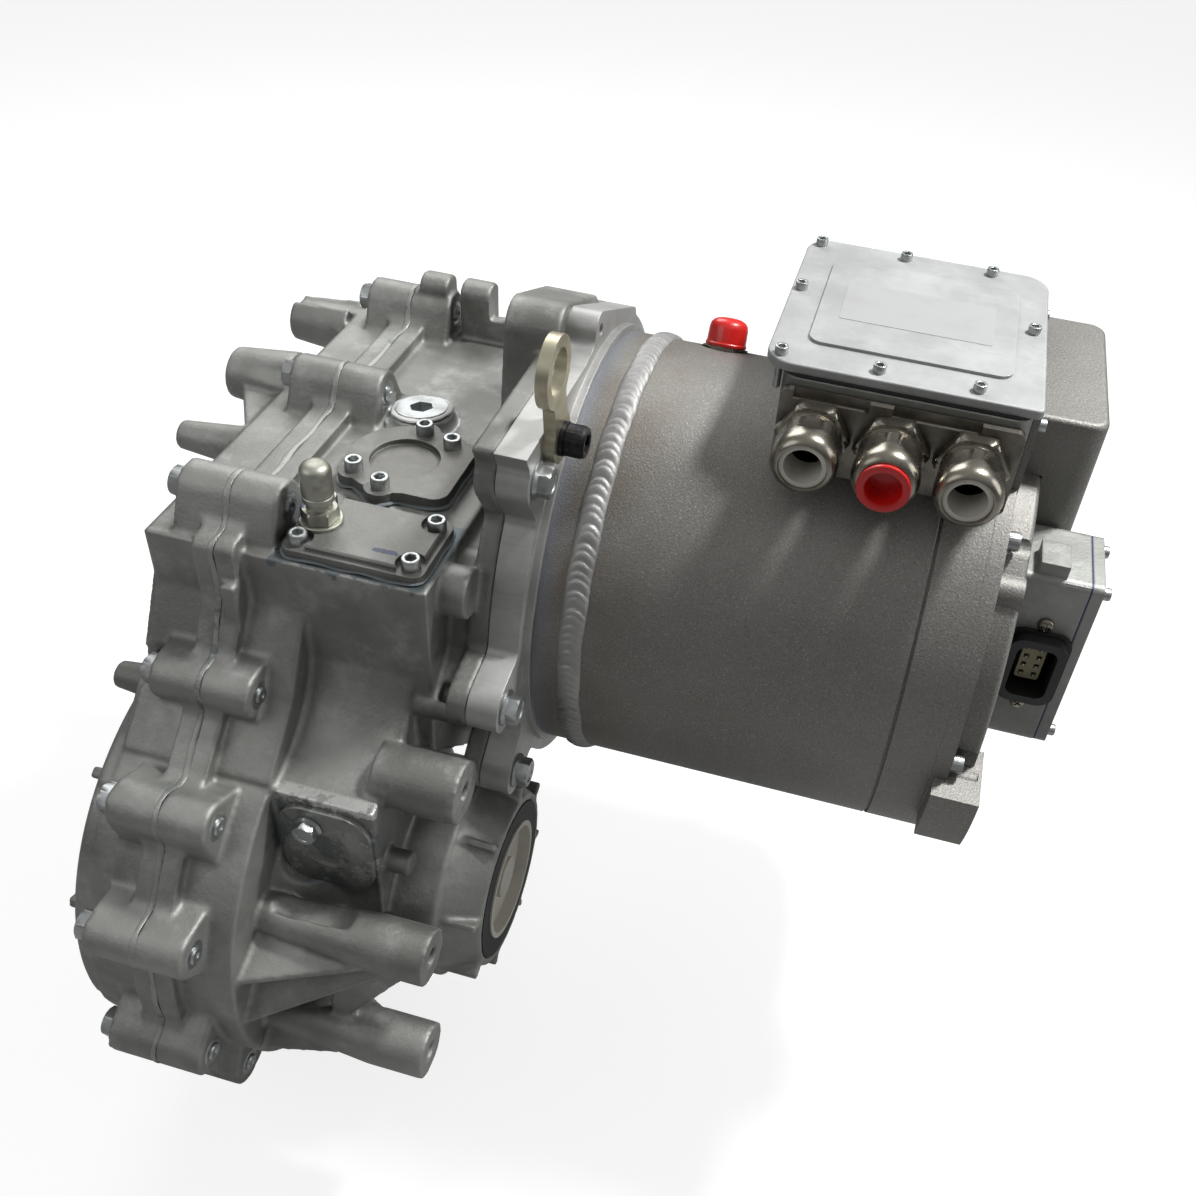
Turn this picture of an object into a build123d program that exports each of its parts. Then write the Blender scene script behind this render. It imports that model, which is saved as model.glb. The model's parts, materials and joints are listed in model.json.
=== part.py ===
"""Electric drive unit: a water-cooled motor bolted to a two-stage gearbox with its differential.

Frame: the origin lies on the motor axis, in the plane where the motor housing meets its front
flange. +X runs along the motor to its rear cover, -Y is the side of the cable glands and +Z is
up, square to the terminal box lid and the gearbox covers. Sizes are millimetres.
"""
import os
from math import acos, atan2, cos, degrees, hypot, pi, radians, sin, sqrt

from build123d import *

# Motor housing and its two ends
housing_r = 120.0
housing_length = 209.0
housing_wall = 15.0
front_ring_end = 20.0
weld_width = 13.0
weld_height = 2.6
rear_groove_x = housing_length - 25.0
groove_width = 1.6
groove_depth = 1.6
fit_gap = 0.05
running_gap = 0.3

# Front flange of the motor and the flange of the gearbox that it is bolted to
front_flange_x = -20.0
front_flange_face = -4.0
gearbox_flange_x = -31.0
flange_r = housing_r + 10.0
flange_bolt_r = housing_r + 28.0
flange_lug_r = 13.5
flange_bolt_angles = (134.0, 181.0, 207.0, 318.0, 0.0)
flange_block_y = (-118.0, -30.0)
flange_block_z = housing_r + 7.0
top_lugs = ((housing_r + 14.5, 90.5, 9.5), (housing_r + 4.5, 58.0, 9.0))
jack_hole_r = 3.4
eye_screw_angle = 125.0
eye_centre = (-91.0, housing_r + 39.0)
eye_r = 17.5
eye_neck_r = 8.5
eye_foot_r = 12.5
eye_hole_r = 11.5
eye_thickness = 6.0
flange_spigot_length = 12.0

# Stator and rotor
stator_bore_r = housing_r - 54.0
stator_start = 38.0
stator_length = housing_length - 79.0
air_gap = 0.8
winding_inner_r = stator_bore_r + 5.0
winding_outer_r = housing_r - 24.0
winding_overhang = 21.0
shaft_r = 20.0
seat_r = 17.5
shaft_bore_r = 7.0
front_bearing_x = -16.0
bearing_width = 17.0
bearing_outer_r = 36.0
rear_bearing_x = housing_length - 13.0
resolver_x = rear_bearing_x + 18.5
resolver_outer_r = 29.0
resolver_width = 9.0

# Rear cover with its foot lug
cover_lip_end = housing_length + 8.0
cover_face = cover_lip_end + 13.0
cover_raised_r = housing_r - 12.0
cover_wall = 6.0
cover_screw_r = housing_r - 6.5
cover_screw_angle = 121.0
cover_screw_count = 6
foot_end_x = cover_face + 4.0
foot_outer_r = housing_r + 11.0
foot_angles = (184.5, 204.0)

# Signal box on the rear cover
signal_front_y = -60.0
signal_depth = 47.0
signal_x = (cover_face + 1.0, cover_face + 32.0)
signal_z = (-26.0, 81.0)
signal_wall = 4.0
signal_cover_thickness = 6.5
connector_centre = (cover_face + 17.5, 27.0)
connector_width = 29.0
connector_height = 41.0
connector_reach = 8.0
connector_depth = 17.0
connector_wall = 2.6

# Phase lead duct behind the terminal box
duct_y = (-12.0, 100.0)
duct_end_x = cover_face + 24.0
duct_top = housing_r + 20.0
duct_bottom = housing_r - 50.0
duct_wall = 5.0
duct_flange_y = (-39.0, 93.0)
duct_flange_low = housing_r - 12.0
duct_flange_thickness = 3.5
duct_screw_places = ((-31.0, housing_r + 26.0), (85.0, housing_r + 26.0))

# Terminal box
box_x = (housing_length - 112.0, housing_length + 5.0)
box_y = (-47.0, 95.0)
box_top = housing_r + 34.5
box_wall = 5.0
box_corner_r = 9.0
lid_x = (box_x[0] - 10.0, box_x[1] + 3.5)
lid_y = (box_y[0] + 2.0, box_y[1] + 4.0)
lid_thickness = 6.0
lid_corner_r = 14.0
lid_sharp_corner_r = 3.5
lid_pad_x = (lid_x[0] + 17.0, lid_x[1] - 15.5)
lid_pad_y = (lid_y[0] + 23.0, lid_y[1] - 26.0)
lid_pad_height = 1.5
gasket_thickness = 1.5
lid_screw_x = (lid_x[0] + 7.0, lid_x[0] + 53.5, lid_x[0] + 100.0)
lid_screw_y = (lid_y[0] + 8.0, lid_y[1] - 8.0)
lid_side_screws = ((lid_x[0] + 5.0, 34.0), (lid_x[1] - 7.0, 32.0))

# Cable glands
gland_pitch = 37.5
gland_x = tuple(box_x[0] + 19.5 + gland_pitch * number for number in range(3))
gland_z = box_top - 23.0
gland_plate_x = (box_x[0] + 1.0, box_x[1] - 2.0)
gland_plate_z = (box_top - 50.5, box_top - 3.5)
gland_plate_thickness = 5.0
gland_slots = ((box_x[0] + 7.0, box_x[0] + 43.0), (box_x[0] + 54.0, box_x[0] + 95.0))
gland_hex = 31.5
gland_hex_height = 8.0
gland_body_r = 14.5
gland_nut_r = 16.3
gland_nut_length = 22.0
gland_bore_r = 9.0
gland_seal_r = 11.8
gland_mouth_depth = 15.0

# Coolant nozzles
nozzle_places = ((54.0, 65.0), (housing_length - 59.0, -40.0))
nozzle_seat_r = housing_r - 2.0
nozzle_hex = 22.0
nozzle_hex_height = 3.0
nozzle_r = 9.0
nozzle_bore_r = 6.5
nozzle_length = 17.0
nozzle_thread_r = 8.0
nozzle_cap_r = 11.5
nozzle_cap_length = nozzle_length + 2.0 - nozzle_hex_height - running_gap

# Gearbox axes: the countershaft is placed where both centre distances meet
diff_y = -144.0
diff_z = -148.0
first_module = 2.0
first_pinion_teeth = 21
first_wheel_teeth = 60
second_module = 3.0
second_pinion_teeth = 25
ring_gear_teeth = 76
pressure_angle = 20.0
backlash = 0.5
first_stage_x = (-84.0, -60.0)
second_stage_x = (-160.0, -129.0)

# Gearbox castings
parting_x = -148.0
outer_half_x = -192.0
bolt_seat_x = -175.0
boss_end_x = -122.0
drum_end_x = -107.0
drum_r = 126.0
case_wall = 6.5
boss_r = 13.0
flange_ring_r = 133.0
diff_bolt_r = 136.0
diff_bolt_angles = (130.0, 158.0, 192.0, 217.0, 246.0, 276.0, 306.0, 334.0)
top_bolts = ((90.0, 76.0), (-12.0, 76.0), (-127.0, 78.0), (-179.0, -3.0), (103.0, -26.0), (62.0, -104.0))
case_front_y = -152.0
case_back_y = 96.0
deck_z = 63.5
wall_x = -42.0
shoulder_x = (-114.0, -52.0)
pad_front_y = -206.0
pad_top_z = -39.0
pad_bottom_z = -120.0
hub_end_x = -3.0
hub_r = 50.0
seal_r = 46.0
seal_width = 12.0
output_plug_r = 34.5
output_bore_r = 37.0

# Mounting bosses: (y, z, radius, x where the boss starts), and the depths of their threaded holes
mount_end_x = -14.0
mount_bosses = ((-180.0, -36.0, 17.0, -60.0), (-231.0, -107.0, 15.0, -112.0), (-241.0, -181.0, 15.0, -112.0))
mount_hole_depths = (23.0, 25.0, 27.0)
mount_boss_draft = 5.0
mount_hole_r = 5.1
outer_boss_x = -228.0
outer_bosses = ((8.0, 56.0, 16.0), (86.0, 54.0, 15.0), (-54.0, 50.0, 9.0), (-150.0, -48.0, 8.5))
outer_boss_draft = 3.0

# Covers on the gearbox deck
square_cover_x = (-119.0, -46.0)
square_cover_y = (-148.0, -101.0)
square_cover_thickness = 8.0
square_cover_edge = 5.0
square_screw_inset = 7.5
round_cover_centre = (-90.0, square_cover_y[1] + 38.2)
round_cover_r = 35.0
round_cover_thickness = 7.0
round_screw_r = 27.0
round_screw_angles = (46.0, 90.0, 220.0, 266.0)
round_recess_r = 18.5
breather_place = (-107.0, -125.0)
filler_place = (-102.0, -12.0)
filler_boss_r = 17.5
filler_boss_height = 5.0

counter_gap_1 = first_module * (first_pinion_teeth + first_wheel_teeth) / 2
counter_gap_2 = second_module * (second_pinion_teeth + ring_gear_teeth) / 2
axis_gap = hypot(diff_y, diff_z)
axis_angle = atan2(diff_z, diff_y)
corner = acos((counter_gap_1**2 + axis_gap**2 - counter_gap_2**2) / (2 * counter_gap_1 * axis_gap))
counter_y = counter_gap_1 * cos(axis_angle - corner)
counter_z = counter_gap_1 * sin(axis_angle - corner)

os.makedirs("parts", exist_ok=True)
nodes = {}


def keep(name, *shapes):
    """Store the solids of one named piece."""
    solids = [solid for shape in shapes for solid in shape.solids()]
    nodes[name] = solids[0] if len(solids) == 1 else Compound(children=solids)


def rod(x0, x1, r, y=0.0, z=0.0):
    """A cylinder along X from x0 to x1."""
    return Pos((x0 + x1) / 2, y, z) * Rot(0, 90, 0) * Cylinder(r, abs(x1 - x0))


def ring(x0, x1, outer, inner, y=0.0, z=0.0):
    """A tube along X from x0 to x1."""
    return rod(x0, x1, outer, y, z) - rod(x0 - 1, x1 + 1, inner, y, z)


def taper(x0, x1, r0, r1, y=0.0, z=0.0):
    """A cone frustum along X with radius r0 at x0 and r1 at x1."""
    return Pos((x0 + x1) / 2, y, z) * Rot(0, 90, 0) * Cone(r0, r1, x1 - x0)


def post(x, y, z0, z1, r):
    """An upright cylinder."""
    return Pos(x, y, (z0 + z1) / 2) * Cylinder(r, z1 - z0)


def beam(x, y, z):
    """A box given by its (low, high) pairs along X, Y and Z."""
    centre = Pos((x[0] + x[1]) / 2, (y[0] + y[1]) / 2, (z[0] + z[1]) / 2)
    return centre * Box(x[1] - x[0], y[1] - y[0], z[1] - z[0])


def section(sketch, x0, x1):
    """A profile drawn in Y and Z, run along X from x0 to x1."""
    return Pos(x0, 0, 0) * extrude(Plane.YZ * sketch, amount=x1 - x0)


def disc(r, y, z):
    """A circle in the Y-Z profile plane."""
    return Pos(y, z) * Circle(r)


def outline(*points):
    """A closed polygon in the profile plane."""
    return make_face(Polyline(*points, close=True))


def polar(r, angle, y=0.0, z=0.0):
    """The Y and Z of a point at a radius and an angle in degrees from +Y towards +Z."""
    return y + r * cos(radians(angle)), z + r * sin(radians(angle))


def rounded_plate(x, y, z, r):
    """A flat plate with rounded upright corners."""
    sketch = RectangleRounded(x[1] - x[0], y[1] - y[0], r)
    return Pos((x[0] + x[1]) / 2, (y[0] + y[1]) / 2, z[0]) * extrude(sketch, amount=z[1] - z[0])


def hexagon(across_flats, height):
    """A hexagonal prism that stands on its origin."""
    return extrude(RegularPolygon(across_flats / sqrt(3), 6), amount=height)


def socket_screw(size, length):
    """A socket head cap screw along Z with the underside of its head at the origin."""
    head = Pos(0, 0, size / 2) * Cylinder(size * 0.75 + 0.5, size)
    head -= Pos(0, 0, size * 0.45) * hexagon(size * 0.83, size)
    return head + Pos(0, 0, -length / 2) * Cylinder(size / 2 - fit_gap, length)


def flange_screw(size, length):
    """A hexagon flange bolt along Z with the underside of its flange at the origin."""
    flange = Pos(0, 0, size * 0.1) * Cylinder(size * 0.95, size * 0.2)
    head = Pos(0, 0, size * 0.2) * hexagon(size * 1.45, size * 0.6)
    return flange + head + Pos(0, 0, -length / 2) * Cylinder(size / 2 - fit_gap, length)


def facing(x, y, z, direction):
    """The place of a screw whose head points along the direction: '+x', '-x', '-y' or '+z'."""
    turn = {"+x": Rot(0, 90, 0), "-x": Rot(0, -90, 0), "-y": Rot(90, 0, 0), "+z": Rot(0, 0, 0)}
    return Pos(x, y, z) * turn[direction]


def screw_hole(x, y, z, direction, size, length):
    """The clear hole in the castings for a screw, a little deeper than the screw."""
    return facing(x, y, z, direction) * Pos(0, 0, -(length + 1) / 2) * Cylinder(size / 2 + 0.2, length + 1)


def involute_point(base_r, r):
    """The angle in radians that an involute from base_r has turned at radius r."""
    roll = sqrt(max(r * r / (base_r * base_r) - 1, 0))
    return roll - atan2(roll, 1)


def spur_gear(module, teeth, width, bore_r, tooth_angle):
    """A spur gear along X from x = 0 with one tooth at tooth_angle degrees, in the profile plane."""
    pitch_r = module * teeth / 2
    base_r = pitch_r * cos(radians(pressure_angle))
    tip_r = pitch_r + module * 0.95
    root_r = pitch_r - module * 1.25
    half = pi / (2 * teeth) - backlash / (4 * pitch_r)
    at_pitch = involute_point(base_r, pitch_r)
    low_r = max(base_r, root_r + 0.1)
    flank = [(r, half + at_pitch - involute_point(base_r, r)) for r in (low_r, pitch_r, tip_r)]
    points = []
    for tooth in range(teeth):
        middle = radians(tooth_angle) + 2 * pi * tooth / teeth
        root_half = (flank[0][1] + pi / teeth) / 2
        points.append((root_r * cos(middle - root_half), root_r * sin(middle - root_half)))
        points += [(r * cos(middle - a), r * sin(middle - a)) for r, a in flank]
        points += [(r * cos(middle + a), r * sin(middle + a)) for r, a in reversed(flank)]
        points.append((root_r * cos(middle + root_half), root_r * sin(middle + root_half)))
    face = outline(*points)
    if bore_r > 0:
        face -= Circle(bore_r)
    return section(face, 0, width)


def ball_bearing(x0, outer_r, bore_r, width, y=0.0, z=0.0):
    """A ball bearing along X from x0: two rings joined by the cage that holds the balls."""
    wall = (outer_r - bore_r) * 0.3
    outer = ring(x0, x0 + width, outer_r - fit_gap, outer_r - wall, y, z)
    inner = ring(x0, x0 + width, bore_r + wall, bore_r + fit_gap, y, z)
    cage = ring(x0 + 2, x0 + width - 2, outer_r - wall, bore_r + wall, y, z)
    return outer + inner + cage


# Motor housing with its weld bead

jacket_bore_r = housing_r - housing_wall
spigot_r = jacket_bore_r - fit_gap
housing = ring(0, housing_length, housing_r, jacket_bore_r)
housing -= ring(rear_groove_x, rear_groove_x + groove_width, housing_r + 1, housing_r - groove_depth)
for nozzle_x, nozzle_angle in nozzle_places:
    outwards = Pos(nozzle_x, 0, 0) * Rot(nozzle_angle - 90, 0, 0)
    housing -= outwards * Pos(0, 0, housing_r) * Cylinder(nozzle_hex * 0.62, 2 * (housing_r - nozzle_seat_r))
    housing -= outwards * Pos(0, 0, housing_r) * Cylinder(nozzle_thread_r + fit_gap, 2 * (housing_wall - 4))
bead_r = (weld_width**2 / 4 + weld_height**2) / (2 * weld_height)
bead_ring_r = housing_r + weld_height - bead_r
bead = Pos(front_ring_end, 0, 0) * Rot(0, 90, 0) * Torus(bead_ring_r, bead_r)
bead -= rod(-40, 80, housing_r)
keep("housing_weld_bead", bead)

# Front flange with its lugs, spigot and bearing seat

flange_face = disc(flange_r, 0, 0)
for angle in flange_bolt_angles:
    near = disc(22, *polar(flange_r - 26, angle))
    flange_face += make_hull([*disc(flange_lug_r, *polar(flange_bolt_r, angle)).edges(), *near.edges()])
top_edges = [*disc(30, *polar(flange_r - 40, 75)).edges()]
for lug_reach, angle, lug_r in top_lugs:
    top_edges += disc(lug_r, *polar(lug_reach, angle)).edges()
flange_face += make_hull(top_edges)
flange_face += outline(
    (flange_block_y[0], flange_block_z),
    (flange_block_y[1], flange_block_z),
    (flange_block_y[1], 60),
    (-80, 60),
    (-98, flange_r - 44),
)
flange_face = offset(offset(flange_face, 6), -6)
bolt_places = [polar(flange_bolt_r, angle) for angle in flange_bolt_angles]
eye_screw = polar(flange_bolt_r - 2, eye_screw_angle)
bolt_size = 10.0
bolt_length = 34.0
front_flange = section(flange_face, front_flange_x, front_flange_face)
front_flange += rod(front_flange_face, 0, housing_r + 3.5)
front_flange += rod(0, flange_spigot_length, spigot_r)
front_flange -= rod(front_flange_x + 9, flange_spigot_length + 1, winding_outer_r - 1)
front_flange += rod(front_flange_x, 3, bearing_outer_r + 8)
front_flange -= rod(front_bearing_x, 4, bearing_outer_r)
front_flange -= rod(front_flange_x - 1, 0, bearing_outer_r - 6)
for y, z in bolt_places:
    front_flange -= screw_hole(front_flange_face, y, z, "+x", bolt_size, bolt_length)
front_flange -= screw_hole(front_flange_face, *eye_screw, "+x", bolt_size, bolt_length)
front_flange -= rod(front_flange_face - 10, front_flange_face + 1, jack_hole_r, *polar(*top_lugs[0][:2]))
keep("motor_front_flange", front_flange)

flange_bolt = flange_screw(bolt_size, bolt_length - 8)
bolts = [facing(front_flange_face, y, z, "+x") * flange_bolt for y, z in bolt_places]
keep("front_flange_bolts", *bolts)

# Lifting eye with its screw and lock washer

eye_neck = [*disc(eye_neck_r, *eye_centre).edges(), *disc(eye_neck_r, *eye_screw).edges()]
eye_profile = make_hull(eye_neck) + disc(eye_r, *eye_centre) + disc(eye_foot_r, *eye_screw)
eye_profile = offset(offset(eye_profile, 5), -5)
eye_profile -= disc(eye_hole_r, *eye_centre)
eye_profile -= disc(bolt_size / 2 + 0.3, *eye_screw)
eye_face = front_flange_face + eye_thickness
eye = section(eye_profile, front_flange_face, eye_face)
keep("lifting_eye", eye)
washer_height = 2.5
washer = ring(eye_face, eye_face + washer_height, bolt_size * 0.85, bolt_size / 2 + 0.1, *eye_screw)
keep("lifting_eye_washer", washer)
screw = socket_screw(bolt_size, bolt_length)
keep("lifting_eye_screw", facing(eye_face + washer_height, *eye_screw, "+x") * screw)

# Stator, rotor, shafts and bearings

stator_end = stator_start + stator_length
keep("stator_core", ring(stator_start, stator_end, jacket_bore_r - fit_gap, stator_bore_r))
front_turns = ring(stator_start - winding_overhang, stator_start, winding_outer_r, winding_inner_r)
rear_turns = ring(stator_end, stator_end + winding_overhang, winding_outer_r, winding_inner_r)
keep("stator_windings", front_turns, rear_turns)

rotor_r = stator_bore_r - air_gap
keep("rotor_core", ring(stator_start + 1, stator_end - 1, rotor_r, shaft_r + fit_gap))
shaft_end = resolver_x + resolver_width + 1
shaft = rod(front_bearing_x + bearing_width, rear_bearing_x, shaft_r)
shaft += rod(front_flange_x, front_bearing_x + bearing_width, seat_r)
shaft += rod(rear_bearing_x, rear_bearing_x + bearing_width - 1, 15)
shaft += rod(rear_bearing_x + bearing_width - 1, shaft_end, 12)
shaft -= rod(front_flange_x - 1, front_flange_x + 40, shaft_bore_r)
keep("rotor_shaft", shaft)


rear_bearing_r = 31.0
rear_seat_r = 15.0
motor_front_bearing = ball_bearing(front_bearing_x, bearing_outer_r, seat_r, bearing_width)
motor_rear_bearing = ball_bearing(rear_bearing_x, rear_bearing_r, rear_seat_r, bearing_width - 1)
keep("motor_bearings", motor_front_bearing, motor_rear_bearing)

# Rear cover with its resolver and foot lug

cover = rod(housing_length, cover_lip_end, housing_r) + rod(cover_lip_end, cover_face, cover_raised_r)
cover = fillet(cover.edges().filter_by(GeomType.CIRCLE).sort_by(Axis.X)[-1], 3)
cover += rod(housing_length - 8, housing_length, spigot_r)
foot_profile = disc(foot_outer_r, 0, 0) - disc(cover_raised_r - 12, 0, 0)
foot_low, foot_high = (radians(angle) for angle in foot_angles)
reach = foot_outer_r * 1.3
foot_wedge = outline(
    (0, 0), (reach * cos(foot_low), reach * sin(foot_low)), (reach * cos(foot_high), reach * sin(foot_high))
)
foot = section(foot_profile & foot_wedge, housing_length + 1, foot_end_x)
foot_middle = sum(foot_angles) / 2
slot_y, slot_z = polar(foot_outer_r, foot_middle)
foot_slot = Pos(0, slot_y, slot_z) * Rot(foot_middle, 0, 0) * Box(400, 16, 7)
foot -= foot_slot
cover += foot
for index in range(cover_screw_count):
    knob_place = polar(cover_raised_r - 5, cover_screw_angle + 60 * index + 12)
    cover += rod(cover_lip_end - 2, cover_face, 9, *knob_place)
chamber = rod(housing_length - 9, cover_face - cover_wall, winding_outer_r)
chamber -= rod(housing_length - 20, cover_face, 31 + 8)
cover -= chamber
cover -= rod(rear_bearing_x - 4, rear_bearing_x + bearing_width - 1, 31)
cover -= rod(rear_bearing_x - 4, resolver_x + resolver_width + 2, resolver_outer_r + fit_gap)
lead_window = beam(
    (cover_lip_end, cover_face + 1),
    (duct_y[0] + 8, duct_y[0] + 70),
    (duct_bottom + duct_wall, cover_raised_r - 16),
)
cover -= lead_window
cover_screws = []
for index in range(cover_screw_count):
    y, z = polar(cover_screw_r, cover_screw_angle + 60 * index)
    cover -= rod(cover_lip_end, cover_face + 2, 7.5, y, z)
    cover -= screw_hole(cover_lip_end, y, z, "+x", 6, 20)
    housing -= screw_hole(cover_lip_end, y, z, "+x", 6, 24)
    cover_screws.append(facing(cover_lip_end, y, z, "+x") * socket_screw(6, 20))
keep("rear_cover", cover)
resolver_ring = ring(resolver_x, resolver_x + resolver_width, resolver_outer_r, 19)
keep("resolver_stator", resolver_ring)
keep("resolver_rotor", ring(resolver_x + 1, resolver_x + resolver_width - 1, 18.3, 12 + fit_gap))

# Signal box on the rear cover, with its connector

signal_y = (signal_front_y, signal_front_y + signal_depth)
signal = beam((cover_face, signal_x[1]), signal_y, signal_z)
signal = fillet(signal.edges().filter_by(Axis.X), 4)
inner_x = (cover_face + signal_wall, signal_x[1] + 1)
inner_y = (signal_y[0] + signal_wall, signal_y[1] - signal_wall)
inner_z = (signal_z[0] + signal_wall, signal_z[1] - signal_wall)
signal -= beam(inner_x, inner_y, inner_z)
signal += beam(
    (cover_face + 6, cover_face + 20),
    (signal_y[0] + 3, signal_y[0] + 22),
    (signal_z[1], signal_z[1] + 7),
)
signal_screw_places = []
for y in (signal_y[0] + 6, signal_y[1] - 6):
    for z in (signal_z[0] + 6, signal_z[1] - 6):
        screw_post = beam((inner_x[0], signal_x[1]), (y - 5, y + 5), (z - 5, z + 5))
        signal += screw_post & beam(inner_x, signal_y, signal_z)
        signal_screw_places.append((y, z))
connector_x, connector_z = connector_centre
socket_plane = Pos(connector_x, signal_front_y, connector_z) * Rot(90, 0, 0)
shroud_face = RectangleRounded(connector_width, connector_height, 8)
window = extrude(RectangleRounded(25, 37, 6), amount=signal_wall + 2)
signal -= socket_plane * Pos(0, 0, -signal_wall - 1) * window
plate_x = signal_x[1]
signal_plate = beam((plate_x + 0.8, plate_x + signal_cover_thickness), signal_y, signal_z)
signal_plate = fillet(signal_plate.edges().filter_by(Axis.X), 4)
signal_gasket = beam((plate_x, plate_x + 0.8), signal_y, signal_z)
signal_gasket = fillet(signal_gasket.edges().filter_by(Axis.X), 4)
signal_gasket -= beam(
    (plate_x - 1, plate_x + 2),
    (inner_y[0] + 4, inner_y[1] - 4),
    (inner_z[0] + 8, inner_z[1] - 8),
)
signal_screws = []
for y, z in signal_screw_places:
    signal -= screw_hole(plate_x, y, z, "+x", 4, 12)
    signal_gasket -= screw_hole(plate_x + 2, y, z, "+x", 4, 12)
    signal_plate -= screw_hole(plate_x + signal_cover_thickness, y, z, "+x", 4, 12)
    signal_screws.append(facing(plate_x + signal_cover_thickness, y, z, "+x") * socket_screw(4, 14))
keep("signal_box", signal)
keep("signal_box_cover", signal_plate)
keep("signal_box_gasket", signal_gasket)

mouth_face = RectangleRounded(connector_width - 2 * connector_wall, connector_height - 2 * connector_wall, 6)
shroud = socket_plane * extrude(shroud_face, amount=connector_reach)
shroud += socket_plane * extrude(RectangleRounded(connector_width + 3, connector_height + 4, 8), amount=2)
tail = extrude(RectangleRounded(24.6, 36.6, 6), amount=connector_depth)
shroud += socket_plane * Pos(0, 0, -connector_depth) * tail
plug_room = extrude(mouth_face & RectangleRounded(20, 32, 5), amount=60)
shroud -= socket_plane * Pos(0, 0, -connector_depth + 2) * plug_room
keep("signal_connector", shroud)
insert_block = extrude(RectangleRounded(12, 24, 1.5), amount=13)
insert_block = socket_plane * Pos(0, 0, -connector_depth + 2) * insert_block
pins = []
for column in (-3.2, 3.2):
    for row in range(4):
        pin_place = socket_plane * Pos(column, -8.4 + 5.6 * row, -2)
        insert_block -= pin_place * Box(2.6, 2.6, 8)
        pins.append(pin_place * Pos(0, 0, -1.5) * Box(1.0, 1.0, 5))
keep("connector_insert", insert_block)
keep("connector_pins", *pins)
pan_screws = []
for side in (-1, 1):
    place = socket_plane * Pos(0, side * (connector_height / 2 + 6), 0)
    pan_head = place * Pos(0, 0, 1.3) * Cylinder(4, 2.6)
    pan_shank = place * Pos(0, 0, -signal_wall / 2) * Cylinder(1.9, signal_wall)
    pan_screws.append(pan_head + pan_shank)
nodes["signal_box"] -= socket_plane * Pos(0, connector_height / 2 + 6, -2) * Cylinder(2.0, 8)
nodes["signal_box"] -= socket_plane * Pos(0, -connector_height / 2 - 6, -2) * Cylinder(2.0, 8)
keep("connector_screws", *pan_screws)

# Phase lead duct behind the terminal box

duct = beam((box_x[1], duct_end_x), duct_y, (duct_bottom, duct_top))
duct = fillet(duct.edges().filter_by(Axis.Z).sort_by(Axis.X)[-2:], 9)
duct = fillet(duct.faces().sort_by(Axis.Z)[-1].edges().sort_by(Axis.X)[1:], 3)
duct -= beam(
    (box_x[1] - 1, duct_end_x - duct_wall),
    (duct_y[0] + duct_wall, duct_y[1] - duct_wall),
    (duct_bottom + duct_wall, duct_top - duct_wall),
)
duct_flange_x = (box_x[1], box_x[1] + duct_flange_thickness)
duct_room_y = (duct_y[0] + duct_wall, duct_y[1] - duct_wall)
duct += beam(duct_flange_x, duct_flange_y, (duct_flange_low, box_top - 1)) - beam(
    (box_x[1] - 1, box_x[1] + 9), duct_room_y, (duct_bottom, duct_top - duct_wall)
)
for end, radius in ((cover_lip_end, housing_r), (cover_face, cover_raised_r)):
    duct -= rod(housing_length - 20, end, radius)
duct_screws = []
for y, z in duct_screw_places:
    duct -= screw_hole(duct_flange_x[1], y, z, "+x", 4, 12)
    duct_screws.append(facing(duct_flange_x[1], y, z, "+x") * socket_screw(4, 10))
keep("phase_lead_duct", duct)

# Terminal box with its lid, gasket and screws

lid_top = box_top + gasket_thickness + lid_thickness
box_floor = housing_r + 6
base = rounded_plate(box_x, box_y, (housing_r - 60, box_top), box_corner_r)
base -= rod(0, duct_end_x, housing_r)
base -= rounded_plate(
    (box_x[0] + box_wall, box_x[1] - box_wall),
    (box_y[0] + box_wall, box_y[1] - box_wall),
    (box_floor, box_top + 1),
    box_corner_r - box_wall + 1,
)
screw_places = [(x, y) for x in lid_screw_x for y in lid_screw_y] + list(lid_side_screws)
for x, y in screw_places:
    base += post(x, y, box_top - 14, box_top, 6.5) & beam(box_x, box_y, (box_floor, box_top))
for y, z in duct_screw_places:
    base += beam((box_x[1] - 11, box_x[1] - 1), (y - 5, y + 5), (box_floor - 1, box_top - 3))
    base -= screw_hole(duct_flange_x[1], y, z, "+x", 4, 12)
gasket = rounded_plate(
    (box_x[0] + 1, box_x[1] - 1),
    (box_y[0] + 1, box_y[1] - 1),
    (box_top, box_top + gasket_thickness),
    box_corner_r,
)
gasket -= rounded_plate(
    (box_x[0] + 12, box_x[1] - 12), (box_y[0] + 17, box_y[1] - 11), (box_top - 1, lid_top), 6
)
lid_bottom = box_top + gasket_thickness
lid = rounded_plate(lid_x, lid_y, (lid_bottom, lid_top - lid_pad_height), lid_corner_r)
sharp_x = (lid_x[1] - 2 * lid_corner_r, lid_x[1])
sharp_y = (lid_y[0], lid_y[0] + 2 * lid_corner_r)
lid += rounded_plate(sharp_x, sharp_y, (lid_bottom, lid_top - lid_pad_height), lid_sharp_corner_r)
lid = fillet(lid.faces().sort_by(Axis.Z)[-1].edges(), 1.2)
lid += rounded_plate(lid_pad_x, lid_pad_y, (lid_top - lid_pad_height - 1, lid_top), 7)
lid_screw_solids = []
screw_seat = lid_top - lid_pad_height
for x, y in screw_places:
    hole = screw_hole(x, y, screw_seat, "+z", 4, 20)
    base -= hole
    gasket -= hole
    lid -= hole
    lid_screw_solids.append(facing(x, y, screw_seat, "+z") * socket_screw(4, 18))
lead_opening = beam(
    (box_x[1] - box_wall - 1, box_x[1] + 1),
    (duct_y[0] + 8, duct_y[1] - 10),
    (box_floor + 1, duct_top - duct_wall),
)
base -= lead_opening
keep("terminal_box_lid", lid)
keep("lid_gasket", gasket)
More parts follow.
